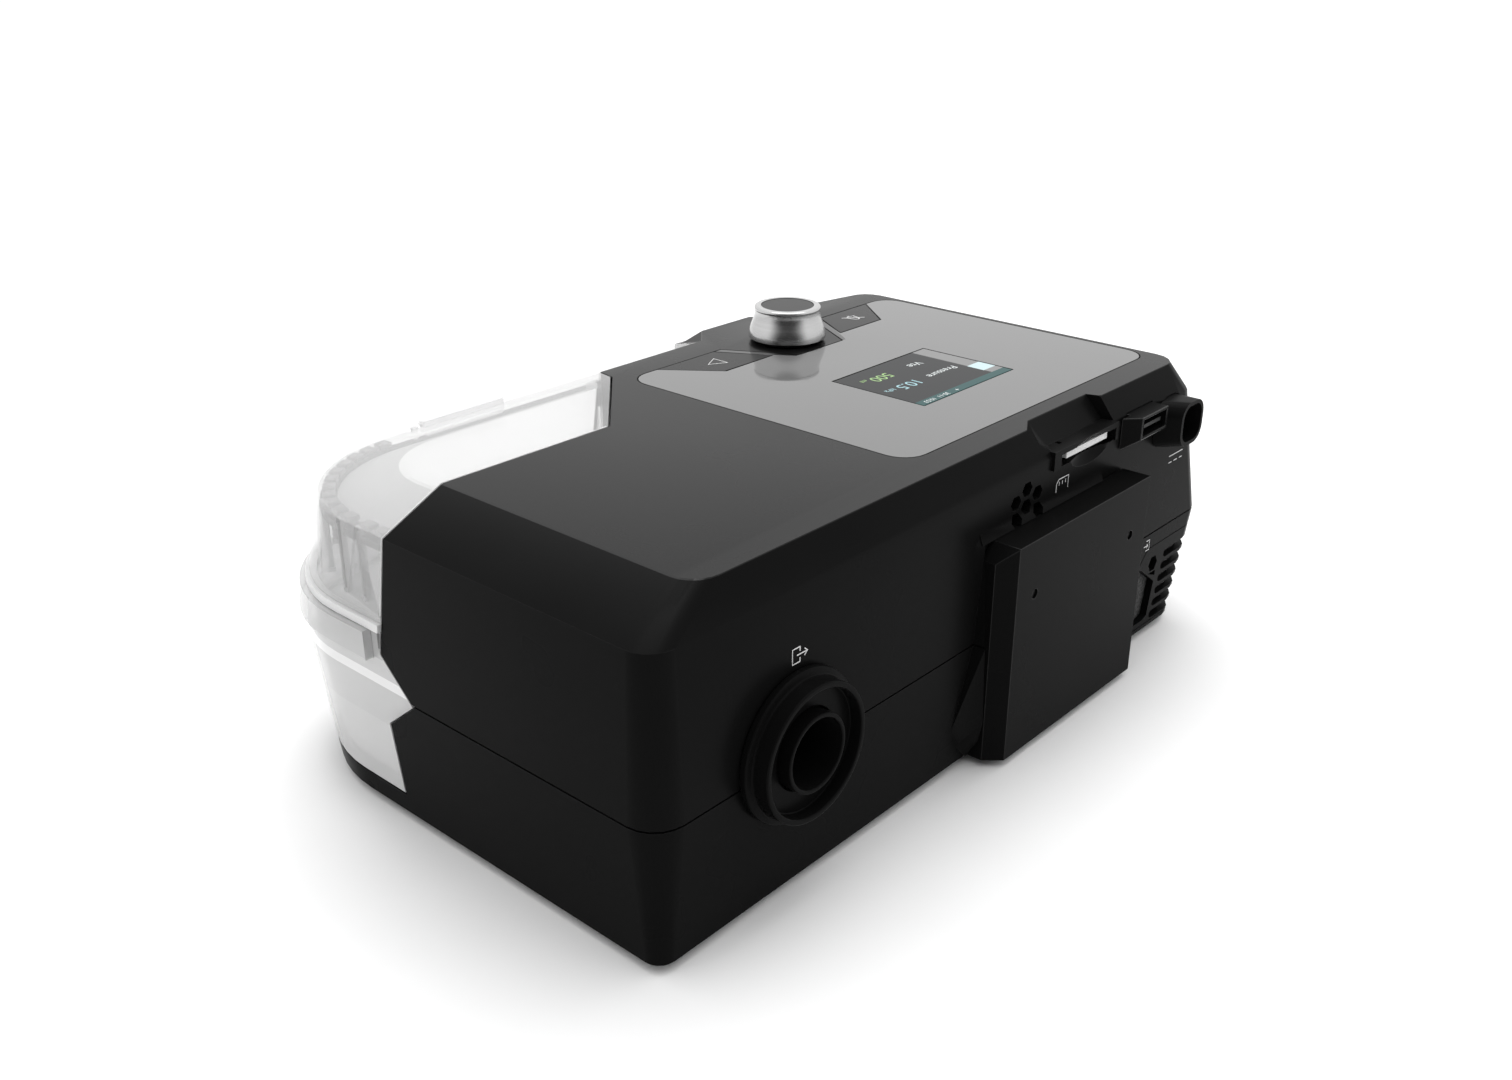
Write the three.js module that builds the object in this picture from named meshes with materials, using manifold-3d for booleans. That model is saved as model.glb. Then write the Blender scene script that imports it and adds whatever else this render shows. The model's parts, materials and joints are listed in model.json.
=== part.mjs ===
// A desktop breathing-therapy machine with a clear humidifier chamber in its front right corner.
// Millimetres. The pieces are drawn in the casing's own frame: x runs from the user's right side to the
// left, y from the rear wall to the user, z up from the underside. The last group turns that frame round
// so that +X is the user's right, +Y is the rear and the origin is under the middle of the machine.

import * as THREE from 'three'
import { mergeVertices } from 'three/addons/utils/BufferGeometryUtils.js'
import Module from 'manifold-3d'

const wasm = await Module()
wasm.setup()

// Casing outline, level by level
const caseHeight = 95.4
const topBevel = 9.6
const shoulderHeight = caseHeight - topBevel
const seamHeight = 37.9
const seamWidth = 275.3
const seamDepth = 178
const baseTaper = 11.8
const baseWidth = seamWidth - baseTaper
const baseFrontTaper = 9.7
const baseDepth = seamDepth - baseFrontTaper
const shoulderTaper = 16.1
const shoulderWidth = seamWidth - shoulderTaper
const shoulderFrontTaper = 10.8
const shoulderDepth = seamDepth - shoulderFrontTaper
const leftBevel = 4.7
const topLeft = shoulderWidth - leftBevel
const frontBevel = 27.7
const topFront = shoulderDepth - frontBevel
const rightBevel = 20.2
const rearBevel = 5.2
const baseEase = 0.5
const baseCornerRadius = 5
const rearRightRadius = 9.7
const leftRadius = 8.5
const chamberRadius = 48.8
const topRearRightRadius = 8
const topChamberRadius = 26.6

// Walls, gaps and cuts
const wall = 2.5
const topWall = 3.4
const gap = 0.3
const seamGap = 0.6
const over = 5
const footHeight = 2.5

// Control panel
const panelEdge = 2
const panelWidth = 137
const panelLeft = topLeft - panelEdge
const panelRight = panelLeft - panelWidth
const panelRear = 15.5
const panelFrontEdge = 12
const panelFront = topFront - panelFrontEdge
const panelRadius = 8
const panelThickness = 1.3
const knobFromLeft = 67.8
const knobX = panelLeft - knobFromLeft
const knobInset = 8.5
const knobY = panelFront - knobInset

// Raised knob platform at the front edge of the top, and the chamber's edge along it
const platformHalfBase = 21.8
const platformHalfTop = 12.6
const platformHalfFoot = 8.8
const platformReach = 8.9
const platformFootEase = 2.1

// Chamber bay in the front right corner
const bayFloor = 6
const bayWall = 3.4
const bayGap = 0.5
const bayDepth = 41
const bayRear = topFront - bayDepth
const bayWaistInset = 7.3
const bayWaist = bayRear + bayWaistInset
const bayProwReach = 5.7
const bayProw = bayRear - bayProwReach
const bayKneeInset = 6.4
const bayKnee = bayRear + bayKneeInset
const bayFootInset = 2.5
const bayFoot = bayRear + bayFootInset
const bayWaistHeight = 49.2
const bayProwHeight = 37.3
const bayKneeHeight = 27.7
const bayPlanInset = 10.5
const bayPlanRear = bayRear - bayPlanInset
const bayPanelGap = 1.7
const bayDiagonalEnd = panelRight - bayPanelGap
const bayDiagonalRun = 43
const bayDiagonalStart = bayDiagonalEnd - bayDiagonalRun
const bayStepDepth = 6.8
const bayDiagonalFront = topFront - bayStepDepth
const bayStepRun = 1.1
const bayStepLeft = bayDiagonalEnd + bayStepRun
const bayStripLeft = knobX - platformHalfBase
const bayStripEase = 1.3
const bayStripFront = topFront + bayStripEase
const bayTipLeft = knobX - platformHalfFoot
const bayTipFront = shoulderDepth - platformFootEase
const bayPlanFront = seamDepth + over + over + over

// Clear chamber
const chamberWall = 2.2
const slopeAllowance = 0.8
const lidWallHeight = 29.8
const tankTop = shoulderHeight - lidWallHeight
const collarHeight = 9
const collarBottom = tankTop - collarHeight
const collarProud = 2.6
const collarInset = 11
const collarRear = bayRear + collarInset
const collarEnd = 10.9
const collarLeft = bayStripLeft - collarEnd
const gasketHeight = 2.6
const lidTopWall = 2

// Hose outlet
const outletX = 49.6
const outletZ = 42
const outletReach = 7.75
const outletRingRadius = 19.3
const outletTubeRadius = 11
const outletTubeBore = 9.75

// Colours
const satinBlack = { color: 0x17181a, roughness: 0.42, metalness: 0 }
const glossGrey = { color: 0x9a9b9d, roughness: 0.14, metalness: 0.1 }
const clearPlastic = { color: 0xe4e7e8, roughness: 0.12, metalness: 0, transparent: true, opacity: 0.4 }
const frostPlastic = { color: 0xc9cccd, roughness: 0.5, metalness: 0, transparent: true, opacity: 0.6 }
const brushedMetal = { color: 0xc4c5c6, roughness: 0.28, metalness: 1 }
const darkRubber = { color: 0x131313, roughness: 0.8, metalness: 0 }
const whiteRubber = { color: 0xe9eaea, roughness: 0.6, metalness: 0 }
const screenGlass = { color: 0x3f4446, roughness: 0.1, metalness: 0 }
const boardGreen = { color: 0x1f5a3a, roughness: 0.55, metalness: 0 }
const plainGrey = { color: 0x8b8e90, roughness: 0.55, metalness: 0 }
const steel = { color: 0x9a9c9e, roughness: 0.35, metalness: 1 }
const cardWhite = { color: 0xd8dadb, roughness: 0.4, metalness: 0 }
const foamGrey = { color: 0x4a4c4e, roughness: 0.95, metalness: 0 }

// Solids and their joins and cuts
function solidOf(geometry) {
  const bare = geometry.clone()
  bare.deleteAttribute('normal')
  bare.deleteAttribute('uv')
  const merged = mergeVertices(bare)
  return new wasm.Manifold(new wasm.Mesh({
    numProp: 3,
    vertProperties: merged.attributes.position.array,
    triVerts: new Uint32Array(merged.index.array)
  }))
}

function geometryOf(solid) {
  const mesh = solid.getMesh()
  const geometry = new THREE.BufferGeometry()
  geometry.setAttribute('position', new THREE.BufferAttribute(mesh.vertProperties, 3))
  geometry.setIndex(new THREE.BufferAttribute(mesh.triVerts, 1))
  geometry.computeVertexNormals()
  return geometry
}

function join(first, ...others) {
  return others.reduce((sum, one) => sum.add(one), first)
}

function cut(first, ...others) {
  return others.reduce((rest, one) => rest.subtract(one), first)
}

function common(first, ...others) {
  return others.reduce((shared, one) => shared.intersect(one), first)
}

// Plain shapes, each between stated limits
function block([x0, x1], [y0, y1], [z0, z1]) {
  const geometry = new THREE.BoxGeometry(x1 - x0, y1 - y0, z1 - z0)
  geometry.translate((x0 + x1) / 2, (y0 + y1) / 2, (z0 + z1) / 2)
  return solidOf(geometry)
}

function extruded(points, depth) {
  const outline = points.map(([u, v]) => new THREE.Vector2(u, v))
  return new THREE.ExtrudeGeometry(new THREE.Shape(outline), { depth, bevelEnabled: false })
}

// A prism that stands on z, from points in x and y
function prismZ(points, [z0, z1]) {
  const geometry = extruded(points, z1 - z0)
  geometry.translate(0, 0, z0)
  return solidOf(geometry)
}

// A prism that lies along y, from points in x and z
function prismY(points, [y0, y1]) {
  const geometry = extruded(points, y1 - y0)
  geometry.rotateX(Math.PI / 2)
  geometry.translate(0, y1, 0)
  return solidOf(geometry)
}

// A prism that lies along x, from points in y and z
function prismX(points, [x0, x1]) {
  const geometry = extruded(points, x1 - x0)
  geometry.applyMatrix4(new THREE.Matrix4().set(
    0, 0, 1, x0,
    1, 0, 0, 0,
    0, 1, 0, 0,
    0, 0, 0, 1
  ))
  return solidOf(geometry)
}

// A turned piece about an upright axis, its closed profile in radius and height
function turned(profile, [x, y, z], sides) {
  const points = [...profile, profile[0]].map(([radius, height]) => new THREE.Vector2(radius, height))
  const geometry = new THREE.LatheGeometry(points, sides)
  geometry.rotateX(Math.PI / 2)
  geometry.translate(x, y, z)
  return solidOf(geometry)
}

// The same piece about a level axis that points out of the rear wall
function turnedRear(profile, [x, y, z], sides) {
  const points = [...profile, profile[0]].map(([radius, reach]) => new THREE.Vector2(radius, reach))
  const geometry = new THREE.LatheGeometry(points, sides)
  geometry.rotateX(Math.PI)
  geometry.translate(x, y, z)
  return solidOf(geometry)
}

function rodProfile(radius, low, high) {
  return [[0, low], [radius, low], [radius, high], [0, high]]
}

function ringProfile(inner, outer, low, high) {
  return [[inner, low], [outer, low], [outer, high], [inner, high]]
}

// Named places that are given by their distances from one line
function placed(distances, line) {
  return Object.fromEntries(Object.entries(distances).map(([name, distance]) => [name, line + distance]))
}

// A straight rod between two heights, and one that lies along x
function rod(radius, [x, y], [z0, z1], sides) {
  return turned(rodProfile(radius, z0, z1), [x, y, 0], sides)
}

function rodX(radius, [y, z], [x0, x1], sides) {
  const geometry = new THREE.CylinderGeometry(radius, radius, x1 - x0, sides)
  geometry.rotateZ(Math.PI / 2)
  geometry.translate((x0 + x1) / 2, y, z)
  return solidOf(geometry)
}

// A solid with flat ends through rings that have the same number of points
function loft(rings) {
  const count = rings[0].length
  const positions = rings.flat(2)
  const triangles = []
  for (let level = 0; level + 1 < rings.length; level++) {
    for (let i = 0; i < count; i++) {
      const a = level * count + i
      const b = level * count + (i + 1) % count
      triangles.push(a, b, b + count, a, b + count, a + count)
    }
  }
  const last = (rings.length - 1) * count
  for (let i = 1; i + 1 < count; i++) {
    triangles.push(0, i + 1, i)
    triangles.push(last, last + i, last + i + 1)
  }
  const geometry = new THREE.BufferGeometry()
  geometry.setAttribute('position', new THREE.Float32BufferAttribute(positions, 3))
  geometry.setIndex(triangles)
  return solidOf(geometry)
}

// A level rectangle with four rounded corners, starting at the rear right one
function roundedLevel({ z, x0, x1, y0, y1, radii }, steps) {
  const corners = [[x0, y0, 1, 1], [x1, y0, -1, 1], [x1, y1, -1, -1], [x0, y1, 1, -1]]
  return corners.flatMap(([x, y, sx, sy], corner) => {
    const radius = radii[corner]
    const start = Math.PI * (1 + corner / 2)
    return Array.from({ length: steps[corner] + 1 }, (_, i) => {
      const angle = start + i / steps[corner] * Math.PI / 2
      return [x + sx * radius + radius * Math.cos(angle), y + sy * radius + radius * Math.sin(angle), z]
    })
  })
}

function roundedOutline([x0, x1], [y0, y1], radius, steps) {
  const level = { z: 0, x0, x1, y0, y1, radii: [radius, radius, radius, radius] }
  return roundedLevel(level, [steps, steps, steps, steps]).map(([x, y]) => [x, y])
}

// The casing's outer form, drawn in by an inset for its walls or let out for the collar
const cornerSteps = [5, 4, 4, 14]
const shoulderInsetShare = 0.65
const topInsetShare = 0.6
const smallestRadius = 0.5

function casingLevel(z, x0, x1, y0, y1, radii, inset) {
  const inner = radii.map(radius => Math.max(radius - inset, smallestRadius))
  const level = { z, x0: x0 + inset, x1: x1 - inset, y0: y0 + inset, y1: y1 - inset, radii: inner }
  return roundedLevel(level, cornerSteps)
}

function casing(inset, topInset = inset) {
  const base = [baseCornerRadius, leftRadius, leftRadius, chamberRadius]
  const walls = [rearRightRadius, leftRadius, leftRadius, chamberRadius]
  const shoulder = [topRearRightRadius, leftRadius, leftRadius, chamberRadius]
  const top = [topRearRightRadius, leftRadius, leftRadius, topChamberRadius]
  return loft([
    casingLevel(inset, baseEase, baseWidth - baseEase, baseEase, baseDepth - baseEase, base, inset),
    casingLevel(baseEase + inset, 0, baseWidth, 0, baseDepth, base, inset),
    casingLevel(seamHeight, 0, seamWidth, 0, seamDepth, walls, inset),
    casingLevel(shoulderHeight - inset * shoulderInsetShare, 0, shoulderWidth, 0, shoulderDepth,
      shoulder, inset),
    casingLevel(caseHeight - topInset, rightBevel, topLeft, rearBevel, topFront, top, inset * topInsetShare)
  ])
}

function heightBand(z0, z1) {
  return block([-over, seamWidth + over], [-over, seamDepth + over], [z0, z1])
}

// The space of the chamber: a shift draws its rear and left limits towards the chamber's own middle
function bayZone(shift) {
  const tipRun = (bayTipLeft - bayStripLeft) / (bayTipFront - bayStripFront)
  const plan = [
    [-over - over, bayPlanRear],
    [bayDiagonalStart, bayPlanRear],
    [bayDiagonalEnd, bayDiagonalFront],
    [bayStepLeft, topFront],
    [bayStripLeft, bayStripFront],
    [bayTipLeft, bayTipFront],
    [bayTipLeft + (bayPlanFront - bayTipFront) * tipRun, bayPlanFront],
    [-over - over, bayPlanFront]
  ]
  const side = [
    [bayRear, caseHeight + over + over],
    [bayRear, shoulderHeight],
    [bayWaist, bayWaistHeight],
    [bayProw, bayProwHeight],
    [bayKnee, bayKneeHeight],
    [bayFoot, bayFloor],
    [bayPlanFront + over, bayFloor],
    [bayPlanFront + over, caseHeight + over + over]
  ]
  const shiftedPlan = plan.map(([x, y]) => [x - shift, y + shift])
  const shiftedSide = side.map(([y, z]) => [y + shift, z === bayFloor ? z + shift : z])
  return common(
    prismZ(shiftedPlan, [-over, caseHeight + over]),
    prismX(shiftedSide, [-over - over, bayPlanFront])
  )
}

const body = casing(0)
const bay = bayZone(0)
const bayWalled = bayZone(-bayWall)
const bodyInside = cut(casing(wall, topWall), bayWalled)

const parts = []

function add(name, solid, finish) {
  const mesh = new THREE.Mesh(geometryOf(solid), new THREE.MeshStandardMaterial(finish))
  mesh.name = name
  parts.push(mesh)
}

// Raised knob platform at the front edge of the top
const bump = { reach: topFront + platformReach, footFront: bayTipFront, drop: 0.2, root: 5 }

function knobPlatform() {
  const back = topFront - bump.root
  const run = (platformHalfBase - platformHalfTop) / (bump.reach - topFront)
  const spread = platformHalfBase + (bump.footFront - topFront) * run
  const ring = (z, half, front, wide) => [
    [knobX - wide, back, z],
    [knobX + wide, back, z],
    [knobX + wide, topFront, z],
    [knobX + half, front, z],
    [knobX - half, front, z],
    [knobX - wide, topFront, z]
  ]
  return loft([
    ring(shoulderHeight - bump.drop, platformHalfFoot, bump.footFront, spread),
    ring(caseHeight, platformHalfTop, bump.reach, platformHalfBase)
  ])
}

// Rear fairings beside the add-on box
const boxFromPanelLeft = { right: -121.5, face: -117, left: -41 }
const boxFromShoulderHeight = { height: -16, corner: -20.9, screwZ: -33.4 }
const box = {
  ...placed(boxFromPanelLeft, panelLeft),
  ...placed(boxFromShoulderHeight, shoulderHeight),
  mid: 5, reach: 10.2, screwInset: 9.8, screwRadius: 1.4, screwDepth: 4, screwSink: 0.7
}
const fairingFromBoxRight = { topRight: -4.3, seamRight: -0.8, lowRight: -9.6, footRight: -6.9 }
const fairingFromBoxLeft = { stripLeft: -14.5 }
const fairingFromBoxHeight = { topHeight: 2.8 }
const fairing = {
  ...placed(fairingFromBoxRight, box.right),
  ...placed(fairingFromBoxLeft, box.left),
  ...placed(fairingFromBoxHeight, box.height),
  topReach: 1.4, seamReach: 3.8, lowHeight: 12.9, lowReach: 4.8, footZ: 6.3, footReach: 3.6,
    strip: 3.6, root: 1
}

function fairingAlong(sections) {
  const edge = box.right - gap
  return loft(sections.map(([z, start, reach]) => [
    [start, 0, z], [edge, -reach, z], [edge, fairing.root, z], [start, fairing.root, z]
  ]))
}

// Card slot in the rear edge of the top
const slotFromLeft = 65.7
const slotX = panelLeft - slotFromLeft
const cardSlotFromSlotX = { right: -16.2, left: 16.2, frameRight: -20.2, frameLeft: 17.8, dishX: 2 }
const cardSlotFromSlotX2 = { pocketTopRight: -20.1, pocketTopLeft: 13.6, mouthRight: -26.5, mouthLeft: 19.7 }
const cardSlotFromShoulderHeight = { low: -4, high: 0.2, frameTop: 1.9, dishTop: -3.6 }
const cardSlot = {
  ...placed(cardSlotFromSlotX, slotX),
  ...placed(cardSlotFromSlotX2, slotX),
  ...placed(cardSlotFromShoulderHeight, shoulderHeight),
  proud: 1, frameDeep: 5, pocketRear: 4.5, pocketTopRear: 9.5, pocketWall: 1.6,
  eyeX: -11.7, eyeY: 3.2, eyeSide: 1.7, eyeDeep: 1.2,
  dishRadius: 11.8, dishDrop: 4.3, dishDeep: 1.8
}

function pocketRing(z, right, left, rearRight, rearLeft, rear, mouth) {
  const rightRun = (rearRight - right) / (rear - mouth)
  const leftRun = (left - rearLeft) / (rear - mouth)
  return [
    [right - rightRun * (mouth + over), -over, z],
    [left + leftRun * (mouth + over), -over, z],
    [rearLeft, rear, z],
    [rearRight, rear, z]
  ]
}

// The recess above the slot; let out by a margin it is the wall around that recess
function cardPocket(margin) {
  const floor = cardSlot.frameTop - margin
  const low = pocketRing(floor, cardSlot.frameRight - margin, cardSlot.frameLeft + margin,
    cardSlot.right - margin, cardSlot.left + margin, cardSlot.pocketRear + margin, 0)
  const high = pocketRing(caseHeight, cardSlot.mouthRight - margin, cardSlot.mouthLeft + margin,
    cardSlot.pocketTopRight - margin, cardSlot.pocketTopLeft + margin, cardSlot.pocketTopRear + margin,
      rearBevel)
  const share = (caseHeight - floor + over) / (caseHeight - floor)
  const above = high.map(([x, y], i) => [
    low[i][0] + (x - low[i][0]) * share,
    low[i][1] + (y - low[i][1]) * share,
    caseHeight + over
  ])
  return loft([low, above])
}

// A shallow round scoop below the slot, for a fingertip
function cardDish() {
  const sphere = (cardSlot.dishRadius ** 2 + cardSlot.dishDeep ** 2) / (2 * cardSlot.dishDeep)
  const geometry = new THREE.SphereGeometry(sphere, 48, 24)
  geometry.scale(1, 1, cardSlot.dishDrop / cardSlot.dishRadius)
  geometry.translate(cardSlot.dishX, cardSlot.dishDeep - sphere, cardSlot.dishTop)
  return solidOf(geometry)
}

function cardFrame() {
  return block([cardSlot.frameRight, cardSlot.frameLeft], [-cardSlot.proud, cardSlot.frameDeep],
    [cardSlot.low, cardSlot.frameTop])
}

// A small blind square hole in the visor's top
function cardEye() {
  const x = slotX + cardSlot.eyeX
  const half = cardSlot.eyeSide / 2
  return block([x - half, x + half], [cardSlot.eyeY - half, cardSlot.eyeY + half],
    [cardSlot.frameTop - cardSlot.eyeDeep, caseHeight])
}

function cardOpening() {
  return block([cardSlot.right, cardSlot.left], [-over, cardSlot.frameDeep + over],
    [cardSlot.low - gap, cardSlot.high])
}

// Six hexagons in front of the speaker
const grilleFromBoxRight = { x: 22.8 }
const grilleFromBoxHeight = { z: 4.6 }
const grille = {
  ...placed(grilleFromBoxRight, box.right),
  ...placed(grilleFromBoxHeight, box.height),
  pitchX: 5.8, pitchZ: 5.4, across: 4.2, half: 2.8, speakerRadius: 10.5, speakerDepth: 7
}
const grilleShares = [[0, 0], [0, 1], [1, 0.5], [1, -0.5], [-1, 0.5], [-1, -0.5]]

function hexagon(x, z, half, across) {
  return [[half, 0], [half / 2, across / 2], [-half / 2, across / 2], [-half, 0], [-half / 2, -across / 2],
    [half / 2, -across / 2]].map(([dx, dz]) => [x + dx, z + dz])
}

function speakerHoles() {
  return grilleShares.map(([right, up]) => prismY(
    hexagon(grille.x + right * grille.pitchX, grille.z + up * grille.pitchZ, grille.half, grille.across),
    [-over, over]
  ))
}

// Data port
const portFromPanelLeft = { right: -40, left: -23, flareRight: -45 }
const portFromShoulderHeight = { low: -5.8, high: 1.7, flareLow: -8.8 }
const port = {
  ...placed(portFromPanelLeft, panelLeft),
  ...placed(portFromShoulderHeight, shoulderHeight),
  reach: 5, frame: 1, deep: 9, cavity: 4, tongueInset: 3, tongueThick: 1.2
}

function frameBlock(piece, margin, [y0, y1]) {
  return block([piece.right - margin, piece.left + margin], [y0, y1], [piece.low - margin,
    piece.high + margin])
}

function dataPort() {
  const ring = (y, right, low) => [[right, port.high], [port.left, port.high], [port.left, low], [right, low]]
    .map(([x, z]) => [x, y, z])
  const flare = loft([ring(-port.reach, port.right, port.low), ring(-gap, port.flareRight, port.flareLow)])
  const stem = frameBlock(port, 0, [-port.reach, port.deep])
  const hollow = frameBlock(port, -port.frame, [-port.reach - over, port.cavity])
  return cut(join(flare, stem), hollow)
}

function portTongue() {
  const middle = (port.low + port.high) / 2
  return block([port.right + port.tongueInset, port.left - port.tongueInset],
    [-port.reach + port.frame, port.cavity - gap],
    [middle - port.tongueThick / 2, middle + port.tongueThick / 2])
}

// Power inlet with its shroud
const inletFromPanelLeft = { right: -18.2, left: -3, flareRight: -22.3 }
const inletFromShoulderHeight = { low: -14.3, high: 0.8, flareLow: -15.3 }
const inlet = {
  ...placed(inletFromPanelLeft, panelLeft),
  ...placed(inletFromShoulderHeight, shoulderHeight),
  reach: 8, radius: 5.5, wall: 1.3, deep: 12, cavity: 8, pinRadius: 1, pinSpread: 3, pinReach: 3
}

function inletPrism(margin, limits) {
  const outline = roundedOutline([inlet.right - margin, inlet.left + margin],
    [inlet.low - margin, inlet.high + margin], inlet.radius + margin, 6)
  return prismY(outline, limits)
}

function inletRing(y, right, low) {
  const level = { z: y, x0: right, x1: inlet.left, y0: low, y1: inlet.high,
    radii: Array(4).fill(inlet.radius) }
  return roundedLevel(level, [6, 6, 6, 6]).map(([x, z]) => [x, y, z]).reverse()
}

function pinPlaces() {
  const x = (inlet.right + inlet.left) / 2
  const z = (inlet.low + inlet.high) / 2
  return [-1, 1].map(side => [x + side * inlet.pinSpread, z])
}

function powerInlet() {
  const flare = loft([
    inletRing(-inlet.reach, inlet.right, inlet.low),
    inletRing(-gap, inlet.flareRight, inlet.flareLow)
  ])
  const hollow = inletPrism(-inlet.wall, [-inlet.reach - over, inlet.cavity])
  const holes = pinPlaces().map(([x, z]) =>
    turnedRear(rodProfile(inlet.pinRadius + gap, -inlet.deep - over, 0), [x, 0, z], 10))
  return cut(join(flare, inletPrism(0, [-inlet.reach, inlet.deep])), hollow, ...holes)
}

function inletPin([x, z]) {
  return turnedRear(rodProfile(inlet.pinRadius, -inlet.deep, inlet.pinReach), [x, 0, z], 10)
}

// Air inlet with its pull-off filter cover in the rear left corner
const filterFromBaseWidth = { right: -34.3, cornerRight: -26.3, slotRight: -13.6, hexX: -21.1,
  foamRight: -29.5 }
const filter = {
  ...placed(filterFromBaseWidth, baseWidth),
  low: 1.9, high: 32.5, cornerLow: 24.5, forward: 27, wall: 2.4,
  slotRun: 1.15, slotZ: 26.3, slotPitch: 4.4, slotHeight: 3.1, slots: 6, slotForward: 8,
  hexZ: 25.2, hexAcross: 5.4, hexHalf: 3.1, foamFront: 17.2, foamHigh: 29
}
const bigSlotFromBaseWidth = { right: -32, peak: -29.7, left: -19, lowLeft: -21.5, foot: -24.3 }
const bigSlot = {
  ...placed(bigSlotFromBaseWidth, baseWidth),
  high: 25.5, shoulder: 17.8, knee: 5.1, low: 4.2
}
const smallSlotFromBaseWidth = { right: -23.9, left: -18.7 }
const smallSlot = { ...placed(smallSlotFromBaseWidth, baseWidth), low: 19.9, high: 22 }

function filterZone(margin) {
  return prismY([
    [filter.right + margin, filter.low + margin],
    [seamWidth + over, filter.low + margin],
    [seamWidth + over, filter.high - margin],
    [filter.cornerRight + margin / 2, filter.high - margin],
    [filter.right + margin, filter.cornerLow - margin / 2]
  ], [-over, filter.forward - margin])
}

function filterSlots() {
  return Array.from({ length: filter.slots }, (_, i) => {
    const z = filter.slotZ - i * filter.slotPitch
    const x = filter.slotRight - i * filter.slotRun
    const half = filter.slotHeight / 2
    const run = block([x + half, seamWidth + over], [-over, filter.slotForward], [z - half, z + half])
    return join(run, turnedRear(rodProfile(half, -filter.slotForward, over), [x + half, 0, z], 12))
  })
}

function filterCover() {
  const skin = common(cut(body, casing(filter.wall)), filterZone(gap + gap / 3))
  const large = prismY([
    [bigSlot.right, bigSlot.low], [bigSlot.foot, bigSlot.low], [bigSlot.lowLeft, bigSlot.knee],
    [bigSlot.left, bigSlot.shoulder], [bigSlot.peak, bigSlot.high], [bigSlot.right, bigSlot.high]
  ], [-over, over])
  const small = prismY([[smallSlot.right, smallSlot.high], [smallSlot.left, smallSlot.low],
    [smallSlot.left, smallSlot.high]], [-over, over])
  const hexagonal = prismY(hexagon(filter.hexX, filter.hexZ, filter.hexHalf, filter.hexAcross), [-over, over])
  return cut(skin, large, small, hexagonal, ...filterSlots())
}

// Foam that fills the cover up to its rounded corner
function filterFoam() {
  return common(casing(filter.wall + gap), block([filter.foamRight, seamWidth], [0, filter.foamFront],
    [wall + gap, filter.foamHigh]))
}

// Control panel, its recess and its cut-outs
const notchFromKnobX = { rearRight: -11.7, rearLeft: 11.7, frontRight: -27.8, frontLeft: 27.8 }
const notchFromPanelFront = { rear: -24.1 }
const notch = {
  ...placed(notchFromKnobX, knobX),
  ...placed(notchFromPanelFront, panelFront)
}
const keyFromKnobX = { tipRight: -55.8, rearRight: -41.9, rearLeft: -18.6, frontLeft: -28.8, stemX: -36.7 }
const keyFromPanelFront = { rear: -17.5, stemY: -8.5 }
const key = {
  ...placed(keyFromKnobX, knobX),
  ...placed(keyFromPanelFront, panelFront),
  thick: 1.2, travelRoom: 0.9, stemRadius: 2.4, switchGap: 0.9
}
const screenFromKnobX = { right: -27.4, left: 22.5 }
const screenFromPanelRear = { rear: 24.8, front: 61.1 }
const screenFromCaseHeight = { moduleLow: -10.4 }
const screen = {
  ...placed(screenFromKnobX, knobX),
  ...placed(screenFromPanelRear, panelRear),
  ...placed(screenFromCaseHeight, caseHeight),
  frame: 3, legRadius: 2
}

function panelOutline(margin) {
  return roundedOutline([panelRight - margin, panelLeft + margin], [panelRear - margin, panelFront + margin],
    panelRadius + margin, 6)
}

function notchOutline(margin) {
  return [
    [notch.rearRight + margin, notch.rear + margin], [notch.rearLeft - margin, notch.rear + margin],
    [notch.frontLeft - margin, panelFront + over], [notch.frontRight + margin, panelFront + over]
  ]
}

// The keys are mirror images about the knob
function keyOutline(side, margin) {
  const points = [
    [key.tipRight - margin, panelFront + margin], [key.rearRight - margin / 2, key.rear - margin],
    [key.rearLeft + margin, key.rear - margin], [key.frontLeft + margin, panelFront + margin]
  ]
  const placed = points.map(([x, y]) => [knobX + side * (knobX - x), y])
  return side < 0 ? placed.reverse() : placed
}

function keyStem(side) {
  return [knobX + side * (knobX - key.stemX), key.stemY]
}

const keySides = { start_button: -1, mute_button: 1 }
const panelFloor = caseHeight - panelThickness - gap

function panelRecess() {
  const recess = cut(prismZ(panelOutline(gap), [panelFloor, caseHeight + over]),
    prismZ(notchOutline(gap), [0, caseHeight + over]))
  const keyPockets = Object.values(keySides).map(side =>
    prismZ(keyOutline(side, gap), [caseHeight - key.thick - key.travelRoom, caseHeight + over]))
  return join(recess, ...keyPockets)
}

function topPanel() {
  const plate = prismZ(panelOutline(0), [caseHeight - panelThickness, caseHeight])
  const keys = Object.values(keySides).map(side => prismZ(keyOutline(side, gap), [0, caseHeight + over]))
  const window = block([screen.right, screen.left], [screen.rear, screen.front], [0, caseHeight + over])
  return cut(plate, prismZ(notchOutline(0), [0, caseHeight + over]), window, ...keys)
}

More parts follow.
